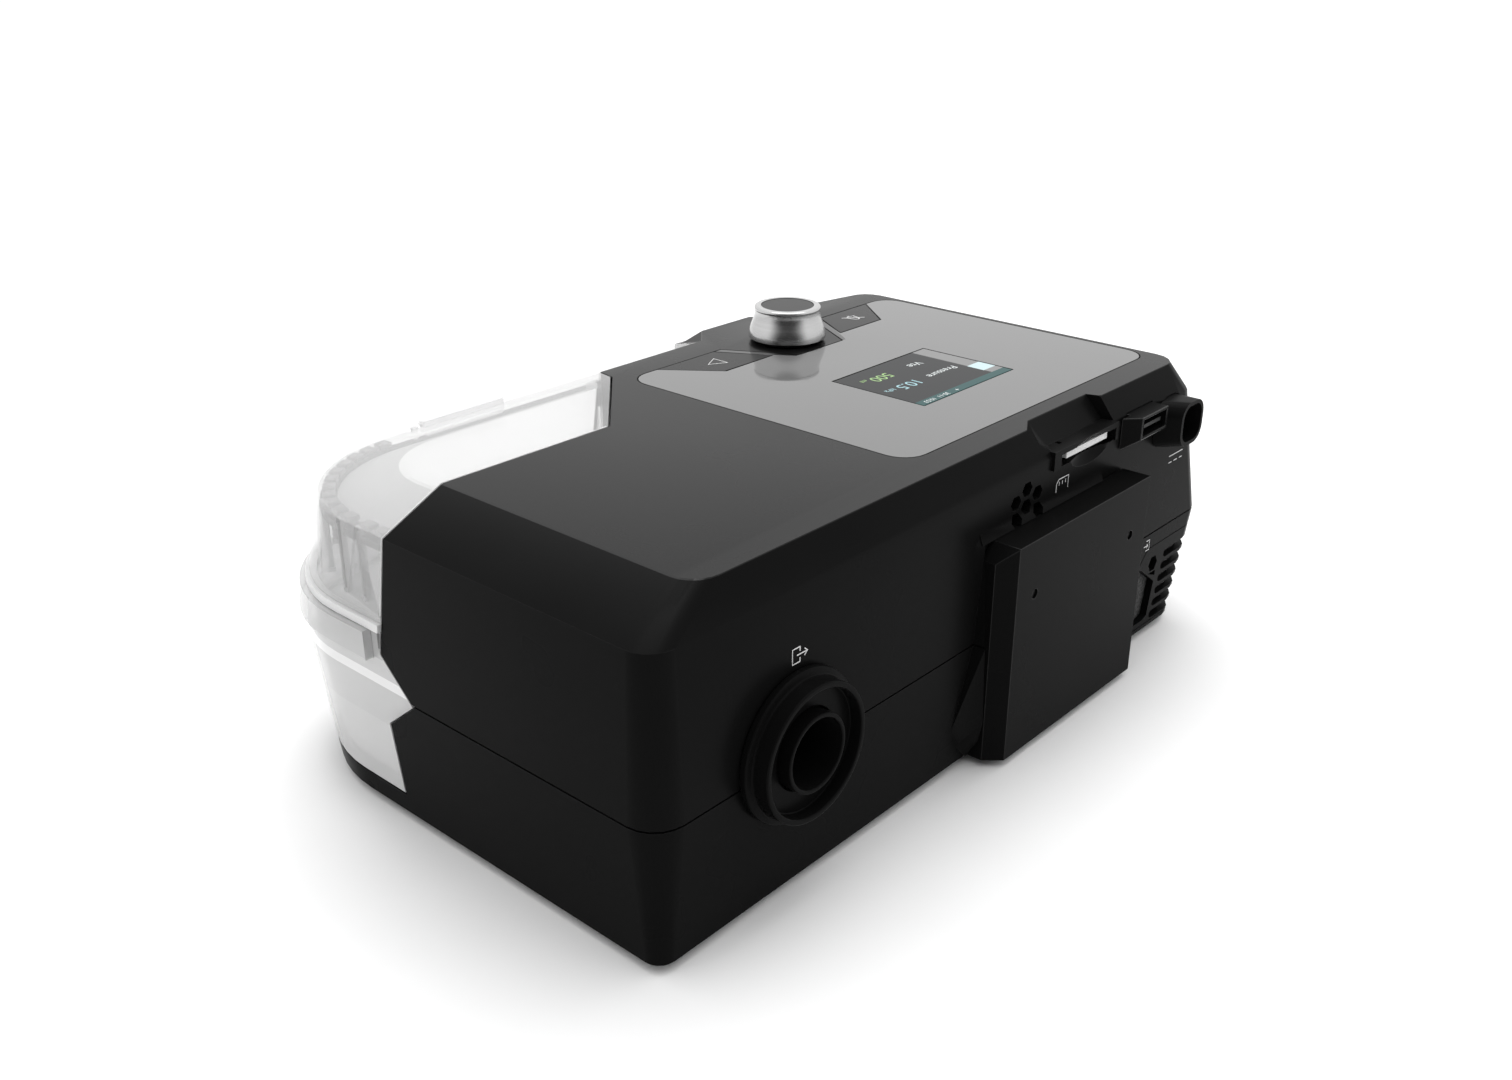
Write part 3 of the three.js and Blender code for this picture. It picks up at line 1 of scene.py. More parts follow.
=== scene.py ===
import json
import math
import bpy
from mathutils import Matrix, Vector


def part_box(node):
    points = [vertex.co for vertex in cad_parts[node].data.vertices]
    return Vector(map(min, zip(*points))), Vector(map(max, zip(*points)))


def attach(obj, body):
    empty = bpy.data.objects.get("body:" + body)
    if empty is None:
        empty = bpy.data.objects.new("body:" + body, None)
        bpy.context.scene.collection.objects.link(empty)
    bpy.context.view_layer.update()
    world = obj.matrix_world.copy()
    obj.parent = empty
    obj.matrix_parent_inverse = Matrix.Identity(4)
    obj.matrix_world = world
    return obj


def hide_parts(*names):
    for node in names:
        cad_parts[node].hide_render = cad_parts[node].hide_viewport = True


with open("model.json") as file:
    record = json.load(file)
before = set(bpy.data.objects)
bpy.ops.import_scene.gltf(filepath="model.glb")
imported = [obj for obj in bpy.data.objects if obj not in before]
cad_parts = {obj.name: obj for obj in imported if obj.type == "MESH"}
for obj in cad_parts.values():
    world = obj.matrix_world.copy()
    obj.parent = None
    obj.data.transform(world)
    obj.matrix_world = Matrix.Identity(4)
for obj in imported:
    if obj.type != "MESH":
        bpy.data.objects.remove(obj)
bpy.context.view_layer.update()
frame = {"nodes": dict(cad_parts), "record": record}
print('frame loaded:', len(frame['nodes']), 'nodes')

mm = 0.001
record = frame['record']
bodyOfNode = {node: body for body, nodes in record['behaviour']['bodies'].items() for node in nodes}
slotOfNode = {row['node']: row['material_slot'] for row in record['subparts']}


# One socket of a node tree, so that shader maths reads as a plain expression
class Wire:
    def __init__(self, tree, socket):
        self.tree = tree
        self.socket = socket

    def node(self, kind, settings, values, output=0):
        made = self.tree.nodes.new('ShaderNode' + kind)
        for name, value in settings.items():
            setattr(made, name, value)
        for name, value in values.items():
            if isinstance(value, Wire):
                self.tree.links.new(value.socket, made.inputs[name])
            else:
                made.inputs[name].default_value = value
        return Wire(self.tree, made.outputs[output])

    def math(self, operation, first, second=0.0):
        return self.node('Math', {'operation': operation}, {0: first, 1: second})

    def __add__(self, other):
        return self.math('ADD', self, other)

    def __radd__(self, other):
        return self.math('ADD', other, self)

    def __sub__(self, other):
        return self.math('SUBTRACT', self, other)

    def __rsub__(self, other):
        return self.math('SUBTRACT', other, self)

    def __mul__(self, other):
        return self.math('MULTIPLY', self, other)

    def __rmul__(self, other):
        return self.math('MULTIPLY', other, self)

    def __truediv__(self, other):
        return self.math('DIVIDE', self, other)

    def __gt__(self, other):
        return self.math('GREATER_THAN', self, other)

    def __lt__(self, other):
        return self.math('LESS_THAN', self, other)


def grey(level):
    return (level, level, level, 1)


def noise(place, scale, detail=2.0, roughness=0.5):
    values = {'Vector': place, 'Scale': scale, 'Detail': detail, 'Roughness': roughness}
    return place.node('TexNoise', {}, values)


def mixed(factor, first, second):
    return factor.node('Mix', {'data_type': 'RGBA'}, {0: factor, 6: first, 7: second}, 2)


def bump(height, strength, distance):
    return height.node('Bump', {}, {'Height': height, 'Strength': strength, 'Distance': distance})


def shifted(place, centre):
    return place.node('VectorMath', {'operation': 'SUBTRACT'}, {0: place, 1: centre})


def axesOf(place):
    split = place.node('SeparateXYZ', {}, {'Vector': place})
    return [Wire(place.tree, split.socket.node.outputs[i]) for i in range(3)]


def stretched(place, factors):
    return place.node('VectorMath', {'operation': 'MULTIPLY'}, {0: place, 1: factors})


# 1 inside a rectangle on two coordinates, 0 outside it
def rectangle(across, along, low, high):
    return (across > low[0]) * (across < high[0]) * (along > low[1]) * (along < high[1])


# A material whose look is a function from Object coordinates to the shader's sockets
def finish(name, look):
    material = bpy.data.materials.new(name)
    material.use_nodes = True
    tree = material.node_tree
    shader = tree.nodes['Principled BSDF']
    place = Wire(tree, tree.nodes.new('ShaderNodeTexCoord').outputs['Object'])
    for socket, value in look(place).items():
        if isinstance(value, Wire):
            tree.links.new(value.socket, shader.inputs[socket])
        else:
            shader.inputs[socket].default_value = value
    return material


satinBlack = {'dark': grey(0.004), 'light': grey(0.006), 'gloss': 0.24, 'spread': 0.08,
              'specular': 0.02, 'grain': 2300, 'relief': 0.035, 'depth': 0.05 * mm, 'cloud': 26,
              'polish': 0.32, 'polishGloss': 0.16, 'topSkin': 0.25 * mm}
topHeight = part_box('top_panel')[1].z


# Black plastic, satin on the walls and polished on the level top
def satinBlackLook(place):
    grain = noise(place, satinBlack['grain'], 2)
    cloud = noise(place, satinBlack['cloud'], 3)
    across, along, up = axesOf(place)
    top = up > topHeight - satinBlack['topSkin']
    return {
        'Base Color': mixed(cloud, satinBlack['dark'], satinBlack['light']),
        'Roughness': satinBlack['gloss'] + satinBlack['spread'] * cloud,
        'Specular IOR Level': satinBlack['specular'],
        'Coat Weight': top * satinBlack['polish'],
        'Coat Roughness': satinBlack['polishGloss'],
        'Normal': bump(grain, satinBlack['relief'], satinBlack['depth']),
    }


edgeHighlightBlack = {'dark': grey(0.005), 'light': grey(0.01), 'edgeMottle': 220, 'gloss': 0.2, 'spread': 0.12,
             'specular': 0.16}


# The same plastic on rounded edges, a little shinier, and a little lighter in colour as a painted
# highlight along the edges
def edgeHighlightBlackLook(place):
    edgeMottle = noise(place, edgeHighlightBlack['edgeMottle'], 3)
    return {
        'Base Color': mixed(edgeMottle, edgeHighlightBlack['dark'], edgeHighlightBlack['light']),
        'Roughness': edgeHighlightBlack['gloss'] + edgeHighlightBlack['spread'] * edgeMottle,
        'Specular IOR Level': edgeHighlightBlack['specular'],
    }


glossPanel = {'dark': grey(0.125), 'light': grey(0.14), 'black': grey(0.006), 'cloud': 18,
              'flake': 5200, 'gloss': 0.035, 'spread': 0.03, 'specular': 0.4,
              'notchDeep': 24.1 * mm, 'notchHalf': 11.7 * mm, 'notchSpread': 16.1 * mm,
              'strip': 1.7 * mm}
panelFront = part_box('top_panel')[0].y
knobMiddle = (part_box('knob')[0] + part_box('knob')[1]) / 2


def glossPanelLook(place):
    cloud = noise(place, glossPanel['cloud'], 2)
    flake = noise(place, glossPanel['flake'], 1)
    across, along, up = axesOf(place)
    # the strips between the knob's notch and the keys are black
    aside = across - knobMiddle.x
    half = aside.math('ABSOLUTE', aside)
    share = (panelFront + glossPanel['notchDeep'] - along) / glossPanel['notchDeep']
    reach = glossPanel['notchHalf'] + glossPanel['strip'] + glossPanel['notchSpread'] * share
    strip = (share > 0) * (half < reach)
    grain = mixed(cloud * 0.7 + flake * 0.3, glossPanel['dark'], glossPanel['light'])
    return {
        'Base Color': mixed(strip, grain, glossPanel['black']),
        'Roughness': glossPanel['gloss'] + glossPanel['spread'] * cloud,
        'Specular IOR Level': glossPanel['specular'],
    }


brushed = {'dark': grey(0.4), 'light': grey(0.56), 'lines': 5200, 'drift': 30, 'gloss': 0.16,
           'spread': 0.12, 'relief': 0.12, 'depth': 0.04 * mm}


# Turned aluminium: fine lines that run round the centre
def turnedMetalLook(centre):
    def look(place):
        local = shifted(place, centre)
        across, along, up = axesOf(local)
        squares = across * across + along * along
        radius = squares.math('SQRT', squares)
        turns = {0: radius * brushed['lines'], 1: up * brushed['lines'], 2: across * brushed['drift']}
        lines = local.node('CombineXYZ', {}, turns)
        streak = noise(lines, 1.0, 3, 0.6)
        return {
            'Base Color': mixed(streak, brushed['dark'], brushed['light']),
            'Metallic': 1.0,
            'Roughness': brushed['gloss'] + brushed['spread'] * streak,
            'Normal': bump(streak, brushed['relief'], brushed['depth']),
        }
    return look


steelTone = {'dark': grey(0.33), 'light': grey(0.5), 'lines': (900, 40, 900), 'gloss': 0.28,
             'spread': 0.15, 'relief': 0.1, 'depth': 0.03 * mm}


def steelLook(place):
    streak = noise(stretched(place, steelTone['lines']), 1.0, 3, 0.6)
    return {
        'Base Color': mixed(streak, steelTone['dark'], steelTone['light']),
        'Metallic': 1.0,
        'Roughness': steelTone['gloss'] + steelTone['spread'] * streak,
        'Normal': bump(streak, steelTone['relief'], steelTone['depth']),
    }


clear = {'dark': grey(0.7), 'light': grey(0.82), 'top': grey(0.82), 'patch': grey(0.66),
         'veil': 0.34, 'topReflectionVeil': 0.4, 'topSkin': 0.6 * mm, 'gloss': 0.06, 'spread': 0.05,
         'coat': 0.4, 'coatSpread': 0.2, 'coatGloss': 0.03, 'cloud': 30,
         'patchLow': (47.8 * mm, -46.5 * mm), 'patchHigh': (88 * mm, -18.5 * mm), 'patchSlant': 0.45}
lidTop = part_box('chamber_lid')[1].z


# Clear plastic: thin and grey on the walls; the level top whiter and more opaque as a painted reflection
# of the bright room, with one duller patch there
def clearLook(place):
    cloud = noise(place, clear['cloud'], 3)
    across, along, up = axesOf(place)
    # painted reflection: the level top is painted whiter and more opaque than the walls
    top = up > lidTop - clear['topSkin']
    slanted = across + along * clear['patchSlant']
    patch = rectangle(slanted, along, clear['patchLow'], clear['patchHigh'])
    level = mixed(patch, clear['top'], clear['patch'])
    return {
        'Base Color': mixed(top, mixed(cloud, clear['dark'], clear['light']), level),
        'Roughness': clear['gloss'] + clear['spread'] * cloud,
        'Alpha': clear['veil'] + clear['topReflectionVeil'] * top,
        'Coat Weight': clear['coat'] + clear['coatSpread'] * cloud,
        'Coat Roughness': clear['coatGloss'],
    }


clearEdge = {'cloud': 60, 'gloss': 0.12, 'spread': 0.1, 'veil': 0.75, 'veilSpread': 0.2}


# The thick edges of the clear plastic, in two given tones and denser than its walls; dark tones paint
# shade along the edges, and light tones a painted highlight on the bead
def clearEdgeLook(dark, light):
    def look(place):
        cloud = noise(place, clearEdge['cloud'], 2)
        return {
            'Base Color': mixed(cloud, dark, light),
            'Roughness': clearEdge['gloss'] + clearEdge['spread'] * cloud,
            'Alpha': clearEdge['veil'] + clearEdge['veilSpread'] * cloud,
        }
    return look


# painted shade: the lid's clear ribs are drawn in this dark grey, and the seal blocks share it
ribShadeAndSealGrey = {'dark': grey(0.06), 'light': grey(0.11), 'cloud': 90, 'gloss': 0.25, 'veil': 0.8,
           'spread': 0.15}


def ribShadeAndSealGreyLook(place):
    cloud = noise(place, ribShadeAndSealGrey['cloud'], 2)
    return {
        'Base Color': mixed(cloud, ribShadeAndSealGrey['dark'], ribShadeAndSealGrey['light']),
        'Roughness': ribShadeAndSealGrey['gloss'] + ribShadeAndSealGrey['spread'] * cloud,
        'Alpha': ribShadeAndSealGrey['veil'] + ribShadeAndSealGrey['spread'] * cloud,
    }


feetHigh = 2.5
milky = {'dark': grey(0.66), 'light': grey(0.76), 'cloud': 34, 'gloss': 0.14, 'spread': 0.08,
         'veil': 0.62, 'coat': 0.5, 'coatSpread': 0.2, 'coatGloss': 0.04,
         'foot': 27, 'footShare': 0.25, 'bandTone': grey(0.92), 'bandVeil': 0.2, 'band': (39, 42),
         'collar': 47.5, 'collarTone': grey(0.56),
         'pocketShadowTone': grey(0.01), 'pocketShadowLow': 50.8, 'pocketRear': -22.3 * mm}


# The tank's thicker plastic: milky, with a painted highlight band half way up for the light on its
# ridge, and a little lighter towards the foot
def milkyLook(place):
    cloud = noise(place, milky['cloud'], 3)
    across, along, up = axesOf(place)
    # millimetres above the casing's underside
    level = (up / mm) - feetHigh
    # painted highlight: a lighter, more opaque band where the tank's ridge catches the light
    band = (level > milky['band'][0]) * (level < milky['band'][1])
    foot = level < milky['foot']
    collar = level > milky['collar']
    # painted shadow: the tank wall at the short recess between the collar's end and the casing is
    # painted near black
    pocket = (level > milky['pocketShadowLow']) * (along > milky['pocketRear'])
    wall = mixed(cloud, milky['dark'], milky['light'])
    wall = mixed(collar, wall, milky['collarTone'])
    wall = mixed(band + foot * milky['footShare'], wall, milky['bandTone'])
    return {
        'Base Color': mixed(pocket, wall, milky['pocketShadowTone']),
        'Roughness': milky['gloss'] + milky['spread'] * cloud,
        'Alpha': milky['veil'] + milky['bandVeil'] * band,
        'Coat Weight': milky['coat'] + milky['coatSpread'] * cloud,
        'Coat Roughness': milky['coatGloss'],
    }


frosted = {'dark': grey(0.34), 'light': grey(0.48), 'top': grey(0.82), 'topSkin': 0.5 * mm,
           'speckle': 1500, 'cloud': 40, 'gloss': 0.4, 'spread': 0.3, 'relief': 0.5,
           'depth': 0.2 * mm}
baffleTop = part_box('lid_baffle')[1].z


# Frosted plastic: speckled on the slope; the level top white, partly its own tone and partly painted
# light from the bright room above
def frostedLook(place):
    speckle = noise(place, frosted['speckle'], 2)
    cloud = noise(place, frosted['cloud'], 3)
    across, along, up = axesOf(place)
    # the white level top is partly painted light from above
    top = up > baffleTop - frosted['topSkin']
    slope = mixed(cloud * 0.5 + speckle * 0.5, frosted['dark'], frosted['light'])
    return {
        'Base Color': mixed(top, slope, frosted['top']),
        'Roughness': frosted['gloss'] + frosted['spread'] * cloud,
        'Normal': bump(speckle, frosted['relief'], frosted['depth']),
    }


rubber = {'dark': grey(0.009), 'light': grey(0.02), 'grain': 1400, 'cloud': 60, 'roughness': 0.62,
          'spread': 0.2, 'specular': 0.35, 'relief': 0.15, 'depth': 0.08 * mm}


def rubberLook(place):
    grain = noise(place, rubber['grain'], 3)
    cloud = noise(place, rubber['cloud'], 3)
    return {
        'Base Color': mixed(cloud, rubber['dark'], rubber['light']),
        'Roughness': rubber['roughness'] + rubber['spread'] * grain,
        'Specular IOR Level': rubber['specular'],
        'Normal': bump(grain, rubber['relief'], rubber['depth']),
    }


plain = {'cloud': 45, 'spread': 0.12, 'relief': 0.12, 'depth': 0.06 * mm}


# A plain moulded or painted stuff: two tones, a roughness and a grain
def plainLook(dark, light, roughness, grainScale=1600, metallic=0.0):
    def look(place):
        cloud = noise(place, plain['cloud'], 3)
        grain = noise(place, grainScale, 2)
        return {
            'Base Color': mixed(cloud, dark, light),
            'Roughness': roughness + plain['spread'] * cloud,
            'Metallic': metallic,
            'Normal': bump(grain, plain['relief'], plain['depth']),
        }
    return look


foam = {'dark': grey(0.02), 'light': grey(0.09), 'cells': 900, 'roughness': 0.9, 'spread': 0.1,
        'relief': 0.9, 'depth': 0.6 * mm}


def foamLook(place):
    cells = place.node('TexVoronoi', {}, {'Vector': place, 'Scale': foam['cells']})
    return {
        'Base Color': mixed(cells, foam['dark'], foam['light']),
        'Roughness': foam['roughness'] + foam['spread'] * cells,
        'Normal': bump(cells, foam['relief'], foam['depth']),
    }


board = {'dark': (0.012, 0.09, 0.035, 1), 'light': (0.02, 0.14, 0.055, 1), 'tracks': 260,
         'gaps': 0.05, 'cloud': 120, 'gloss': 0.35, 'spread': 0.2, 'relief': 0.2, 'depth': 0.1 * mm}


def boardLook(place):
    values = {'Vector': place, 'Scale': board['tracks'], 'Mortar Size': board['gaps']}
    tracks = place.node('TexBrick', {}, values, 1)
    cloud = noise(place, board['cloud'], 2)
    return {
        'Base Color': mixed(tracks, board['dark'], board['light']),
        'Roughness': board['gloss'] + board['spread'] * cloud,
        'Normal': bump(tracks, board['relief'], board['depth']),
    }


knobLow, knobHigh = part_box('knob')
knobCentre = (knobLow + knobHigh) / 2
materials = {
    'satin_black': finish('satinBlack', satinBlackLook),
    'key_black': finish('keyBlack', satinBlackLook),
    'panel_grey': finish('glossPanel', glossPanelLook),
    'inner_plastic': finish('innerPlastic', plainLook(grey(0.2), grey(0.27), 0.5)),
    'circuit_board': finish('circuitBoard', boardLook),
    'steel': finish('steel', steelLook),
    'brushed_knob': finish('turnedAluminium', turnedMetalLook(knobCentre)),
    'black_rubber': finish('blackRubber', rubberLook),
    'edge_black': finish('edgeHighlightBlack', edgeHighlightBlackLook),
    'gap_black': finish('gapBlack', plainLook(grey(0.002), grey(0.004), 0.8)),
    'dark_steel': finish('darkSteel', plainLook(grey(0.012), grey(0.03), 0.4, metallic=1.0)),
    'white_rubber': finish('whiteRubber', plainLook(grey(0.68), grey(0.8), 0.5)),
    'white_plastic': finish('whitePlastic', plainLook(grey(0.6), grey(0.72), 0.35)),
    'clear_plastic': finish('clearPlastic', clearLook),
    'frosted_plastic': finish('frostedPlastic', frostedLook),
    'milky_plastic': finish('milkyPlastic', milkyLook),
    # painted shade: the clear plastic's rounded edges darker than its walls
    'clear_edge': finish('clearEdge', clearEdgeLook(grey(0.3), grey(0.42))),
    # painted highlight: the bright bead along the lid's edge
    'clear_bead': finish('clearHighlightBead', clearEdgeLook(grey(0.76), grey(0.9))),
    'rib_grey': finish('ribShadeAndSealGrey', ribShadeAndSealGreyLook),
    'foam': finish('filterFoam', foamLook),
}
print('materials made:', len(materials))


mergeGap = 0.002 * mm
flatTurn = math.radians(0.5)


def only(piece):
    bpy.ops.object.select_all(action='DESELECT')
    piece.select_set(True)
    bpy.context.view_layer.objects.active = piece


def startEdit(piece):
    only(piece)
    bpy.ops.object.mode_set(mode='EDIT')


def endEdit():
    bpy.ops.mesh.select_all(action='DESELECT')
    bpy.ops.object.mode_set(mode='OBJECT')


def paint(piece, material):
    piece.data.materials.clear()
    piece.data.materials.append(material)


def applied(piece, kind, **settings):
    only(piece)
    modifier = piece.modifiers.new(kind.lower(), kind)
    for name, value in settings.items():
        setattr(modifier, name, value)
    bpy.ops.object.modifier_apply(modifier=modifier.name)


# Smooth shading in which the large faces keep their own direction
def smooth(piece, angle=32):
    only(piece)
    bpy.ops.object.shade_smooth_by_angle(angle=math.radians(angle))
    applied(piece, 'WEIGHTED_NORMAL', mode='FACE_AREA', weight=100, keep_sharp=True)


# Rounds the edges; the new faces take the piece's last material
def softenEdges(piece, width, angle=30, segments=2):
    applied(piece, 'BEVEL', width=width, segments=segments, limit_method='ANGLE',
            angle_limit=math.radians(angle), use_clamp_overlap=True, miter_outer='MITER_ARC',
            material=len(piece.data.materials) - 1)


# The piece rides with its nodes' body and stands for them
def standsFor(piece, *nodes):
    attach(piece, bodyOfNode[nodes[0]])
    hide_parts(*nodes)


# A finer copy of a node: its loose triangles merged, flat faces joined and edges rounded
def dressed(node, name, edge, material=None, joined=True, edgeMaterial=None):
    piece = bpy.data.objects.new(name, frame['nodes'][node].data.copy())
    bpy.context.scene.collection.objects.link(piece)
    startEdit(piece)
    bpy.ops.mesh.select_all(action='SELECT')
    bpy.ops.mesh.remove_doubles(threshold=mergeGap)
    bpy.ops.mesh.customdata_custom_splitnormals_clear()
    if joined:
        bpy.ops.mesh.dissolve_limited(angle_limit=flatTurn)
    endEdit()
    paint(piece, material or materials[slotOfNode[node]])
    if edgeMaterial:
        piece.data.materials.append(edgeMaterial)
    softenEdges(piece, edge)
    smooth(piece)
    standsFor(piece, node)


casingLooks = {
    'upper_shell': ('upperShell', 0.45 * mm), 'lower_shell': ('lowerShell', 0.45 * mm),
    'top_panel': ('topPanel', 0.2 * mm), 'rear_box': ('rearBox', 0.5 * mm),
    'filter_cover': ('filterCover', 0.35 * mm), 'data_port': ('dataPort', 0.3 * mm),
    'power_inlet': ('powerInlet', 0.3 * mm), 'start_button': ('startKey', 0.22 * mm),
    'mute_button': ('muteKey', 0.22 * mm), 'memory_card': ('memoryCard', 0.2 * mm),
}
for node, (name, edge) in casingLooks.items():
    inlaid = node in ('top_panel', 'start_button', 'mute_button')
    rim = materials['gap_black' if inlaid else 'edge_black']
    if slotOfNode[node] == 'white_plastic':
        rim = None
    dressed(node, name, edge, edgeMaterial=rim)
print('casing dressed')

chamberLooks = {
    'chamber_tank': ('chamberTank', 0.5 * mm), 'chamber_lid': ('chamberLid', 0.55 * mm),
    'chamber_gasket': ('lidGasket', 0.4 * mm), 'lid_baffle': ('lidBaffle', 0.2 * mm),
    'lid_inner_seal': ('innerSeal', 0.3 * mm), 'chamber_base': ('tankBase', 0.3 * mm),
}
for node, (name, edge) in chamberLooks.items():
    stuff = materials['milky_plastic'] if node == 'chamber_tank' else None
    rim = materials['clear_edge'] if slotOfNode[node] == 'clear_plastic' else None
    dressed(node, name, edge, stuff, joined=node != 'chamber_gasket', edgeMaterial=rim)

# Around the lid's rounded corner stand ribs with light feet, and above them the blocks of a notched
# seal; the clear ribs are painted dark grey as painted shade, and the blocks share that grey
# In millimetres: places are measured from the rear wall, and a middle is a height
lidCorner = {'radius': 48.8, 'rightWall': 136.35, 'rear': 84.45, 'front': 167.2, 'edge': 0.2}
ribShape = {'inward': 3.1, 'size': (1.7, 1.1, 19.4), 'middle': 75.4, 'stuff': 'rib_grey'}
footShape = {'inward': 3.1, 'size': (2.2, 1.6, 1.4), 'middle': 65.0, 'stuff': 'clear_edge'}
blockShape = {'inward': 5.2, 'size': (3.6, 4.2, 1.6), 'middle': 86.4, 'stuff': 'rib_grey'}
ribAngles = (25, 50, 75)
ribPlaces = (114, 123)
blockAngles = range(4, 85, 8)
blockPlaces = (106, 112.5)
cornerX = (lidCorner['rightWall'] - lidCorner['radius']) * mm
cornerY = (lidCorner['rear'] - lidCorner['front'] + lidCorner['radius']) * mm


# One block on the corner's arc, turned by the angle, or on the straight wall at a place
def cornerBlock(name, block, angle, place):
    bpy.ops.object.select_all(action='DESELECT')
    reach = (lidCorner['radius'] - block['inward']) * mm
    middle = Vector((cornerX + reach, cornerY, block['middle'] * mm))
    if place is not None:
        middle.y = (lidCorner['rear'] - place) * mm
    bpy.ops.mesh.primitive_cube_add(size=1, location=middle)
    piece = bpy.context.active_object
    piece.name = name
    startEdit(piece)
    bpy.ops.mesh.select_all(action='SELECT')
    bpy.ops.transform.resize(value=[length * mm for length in block['size']], center_override=middle)
    if angle:
        bpy.ops.transform.rotate(value=math.radians(angle), orient_axis='Z',
                                 center_override=(cornerX, cornerY, 0))
    endEdit()
    bpy.ops.object.transform_apply(location=True, rotation=True, scale=True)
    softenEdges(piece, lidCorner['edge'] * mm)
    smooth(piece)
    paint(piece, materials[block['stuff']])
    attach(piece, 'lid')


ribSpots = [(angle, None) for angle in ribAngles] + [(0, place) for place in ribPlaces]
for i, (angle, place) in enumerate(ribSpots):
    cornerBlock(f'lidRib{i + 1}', ribShape, angle, place)
    cornerBlock(f'ribFoot{i + 1}', footShape, angle, place)
blockSpots = [(angle, None) for angle in blockAngles] + [(0, place) for place in blockPlaces]
for i, (angle, place) in enumerate(blockSpots):
    cornerBlock(f'sealBlock{i + 1}', blockShape, angle, place)


# Thin round wire along strokes, as one mesh; a stroke is its points and whether it closes
def wireMesh(name, strokes, radius, fineness):
    curve = bpy.data.curves.new(name, 'CURVE')
    curve.dimensions = '3D'
    curve.bevel_depth = radius
    curve.bevel_resolution = fineness
    curve.use_fill_caps = True
    for points, cyclic in strokes:
        spline = curve.splines.new('POLY')
        spline.points.add(len(points) - 1)
        spline.use_cyclic_u = cyclic
        for point, spot in zip(spline.points, points):
            point.co = (*spot, 1)
    piece = bpy.data.objects.new(name, curve)
    bpy.context.scene.collection.objects.link(piece)
    only(piece)
    bpy.ops.object.convert(target='MESH')
    return bpy.context.active_object


# A painted highlight: a bright bead along where the lid's edge meets the casing
highlightBeadShape = {'radius': 0.3, 'start': 56, 'bend': 116.15, 'side': 135.85, 'rear': -15.1, 'top': 97.5,
             'shoulder': 88, 'foot': (-19.97, 64)}
highlightBeadPoints = [
    (highlightBeadShape['start'], highlightBeadShape['rear'], highlightBeadShape['top']),
    (highlightBeadShape['bend'], highlightBeadShape['rear'], highlightBeadShape['top']),
    (highlightBeadShape['side'], highlightBeadShape['rear'], highlightBeadShape['shoulder']),
    (highlightBeadShape['side'], *highlightBeadShape['foot']),
]
highlightBeadSpots = [Vector(point) * mm for point in highlightBeadPoints]
highlightBead = wireMesh('lidHighlightBead', [(highlightBeadSpots, False)], highlightBeadShape['radius'] * mm, 2)
paint(highlightBead, materials['clear_bead'])
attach(highlightBead, 'lid')
print('chamber dressed')

# Small fittings with rounded edges
fittingLooks = {
    'knob_ring': ('knobRing', 0.3 * mm), 'heater_plate': ('heaterPlate', 0.4 * mm),
    'main_board': ('mainBoard', 0.2 * mm), 'display_module': ('displayModule', 0.4 * mm),
    'lid_hinge_pin': ('hingePin', 0.2 * mm), 'foot_1': ('rubberFoot1', 0.6 * mm),
    'foot_2': ('rubberFoot2', 0.6 * mm), 'foot_3': ('rubberFoot3', 0.6 * mm),
    'foot_4': ('rubberFoot4', 0.6 * mm),
}
for node, (name, edge) in fittingLooks.items():
    dressed(node, name, edge)
print('fittings dressed')

darkNodes = ('rear_box_screw_1', 'rear_box_screw_2', 'data_port_tongue')
for node, piece in frame['nodes'].items():
    stuff = 'dark_steel' if node in darkNodes else slotOfNode[node]
    paint(piece, materials.get(stuff, materials['inner_plastic']))


# A turned piece: a ring of edges extruded along its axis and resized step by step
def turnedPiece(name, profile, centre, axis, closed, sides=96, edge=0):
    alongY = axis == 'Y'
    direction = Vector((0, 1, 0)) if alongY else Vector((0, 0, 1))
    radius, reach = profile[0]
    bpy.ops.object.select_all(action='DESELECT')
    bpy.ops.mesh.primitive_circle_add(vertices=sides, radius=radius, fill_type='NOTHING',
                                      location=centre + direction * reach,
                                      rotation=(math.pi / 2 if alongY else 0, 0, 0))
    piece = bpy.context.active_object
    piece.name = name
    piece.data.name = name
    bpy.ops.object.transform_apply(location=True, rotation=True, scale=True)
    startEdit(piece)
    bpy.ops.mesh.select_all(action='SELECT')
    if not closed:
        bpy.ops.mesh.edge_face_add()
        bpy.ops.mesh.select_all(action='SELECT')
    for nextRadius, nextReach in profile[1:] + (profile[:1] if closed else []):
        step = direction * (nextReach - reach)
        bpy.ops.mesh.extrude_edges_move(TRANSFORM_OT_translate={'value': step})
        ratio = nextRadius / radius
        size = (ratio, 1, ratio) if alongY else (ratio, ratio, 1)
        bpy.ops.transform.resize(value=size, center_override=centre + direction * nextReach)
        radius, reach = nextRadius, nextReach
    if not closed:
        bpy.ops.mesh.edge_face_add()
    bpy.ops.mesh.select_all(action='SELECT')
    bpy.ops.mesh.remove_doubles(threshold=mergeGap)
    bpy.ops.mesh.normals_make_consistent(inside=False)
    endEdit()
    if edge:
        softenEdges(piece, edge, 25, 3)
    smooth(piece)
    return piece


# Knob: a flared skirt, a waist and a bright rounded rim
knobShape = {'base': 13.5, 'waist': 11.35, 'rim': 11.55, 'inlay': 9.25, 'sink': 0.7, 'skirt': 1.0,
             'lip': 0.5, 'steps': 12, 'hollowRadius': 12.4, 'hollow': 1.2, 'rimHeight': 1.4,
             'rimRound': 0.9, 'rimSteps': 5, 'swellShare': 0.45}


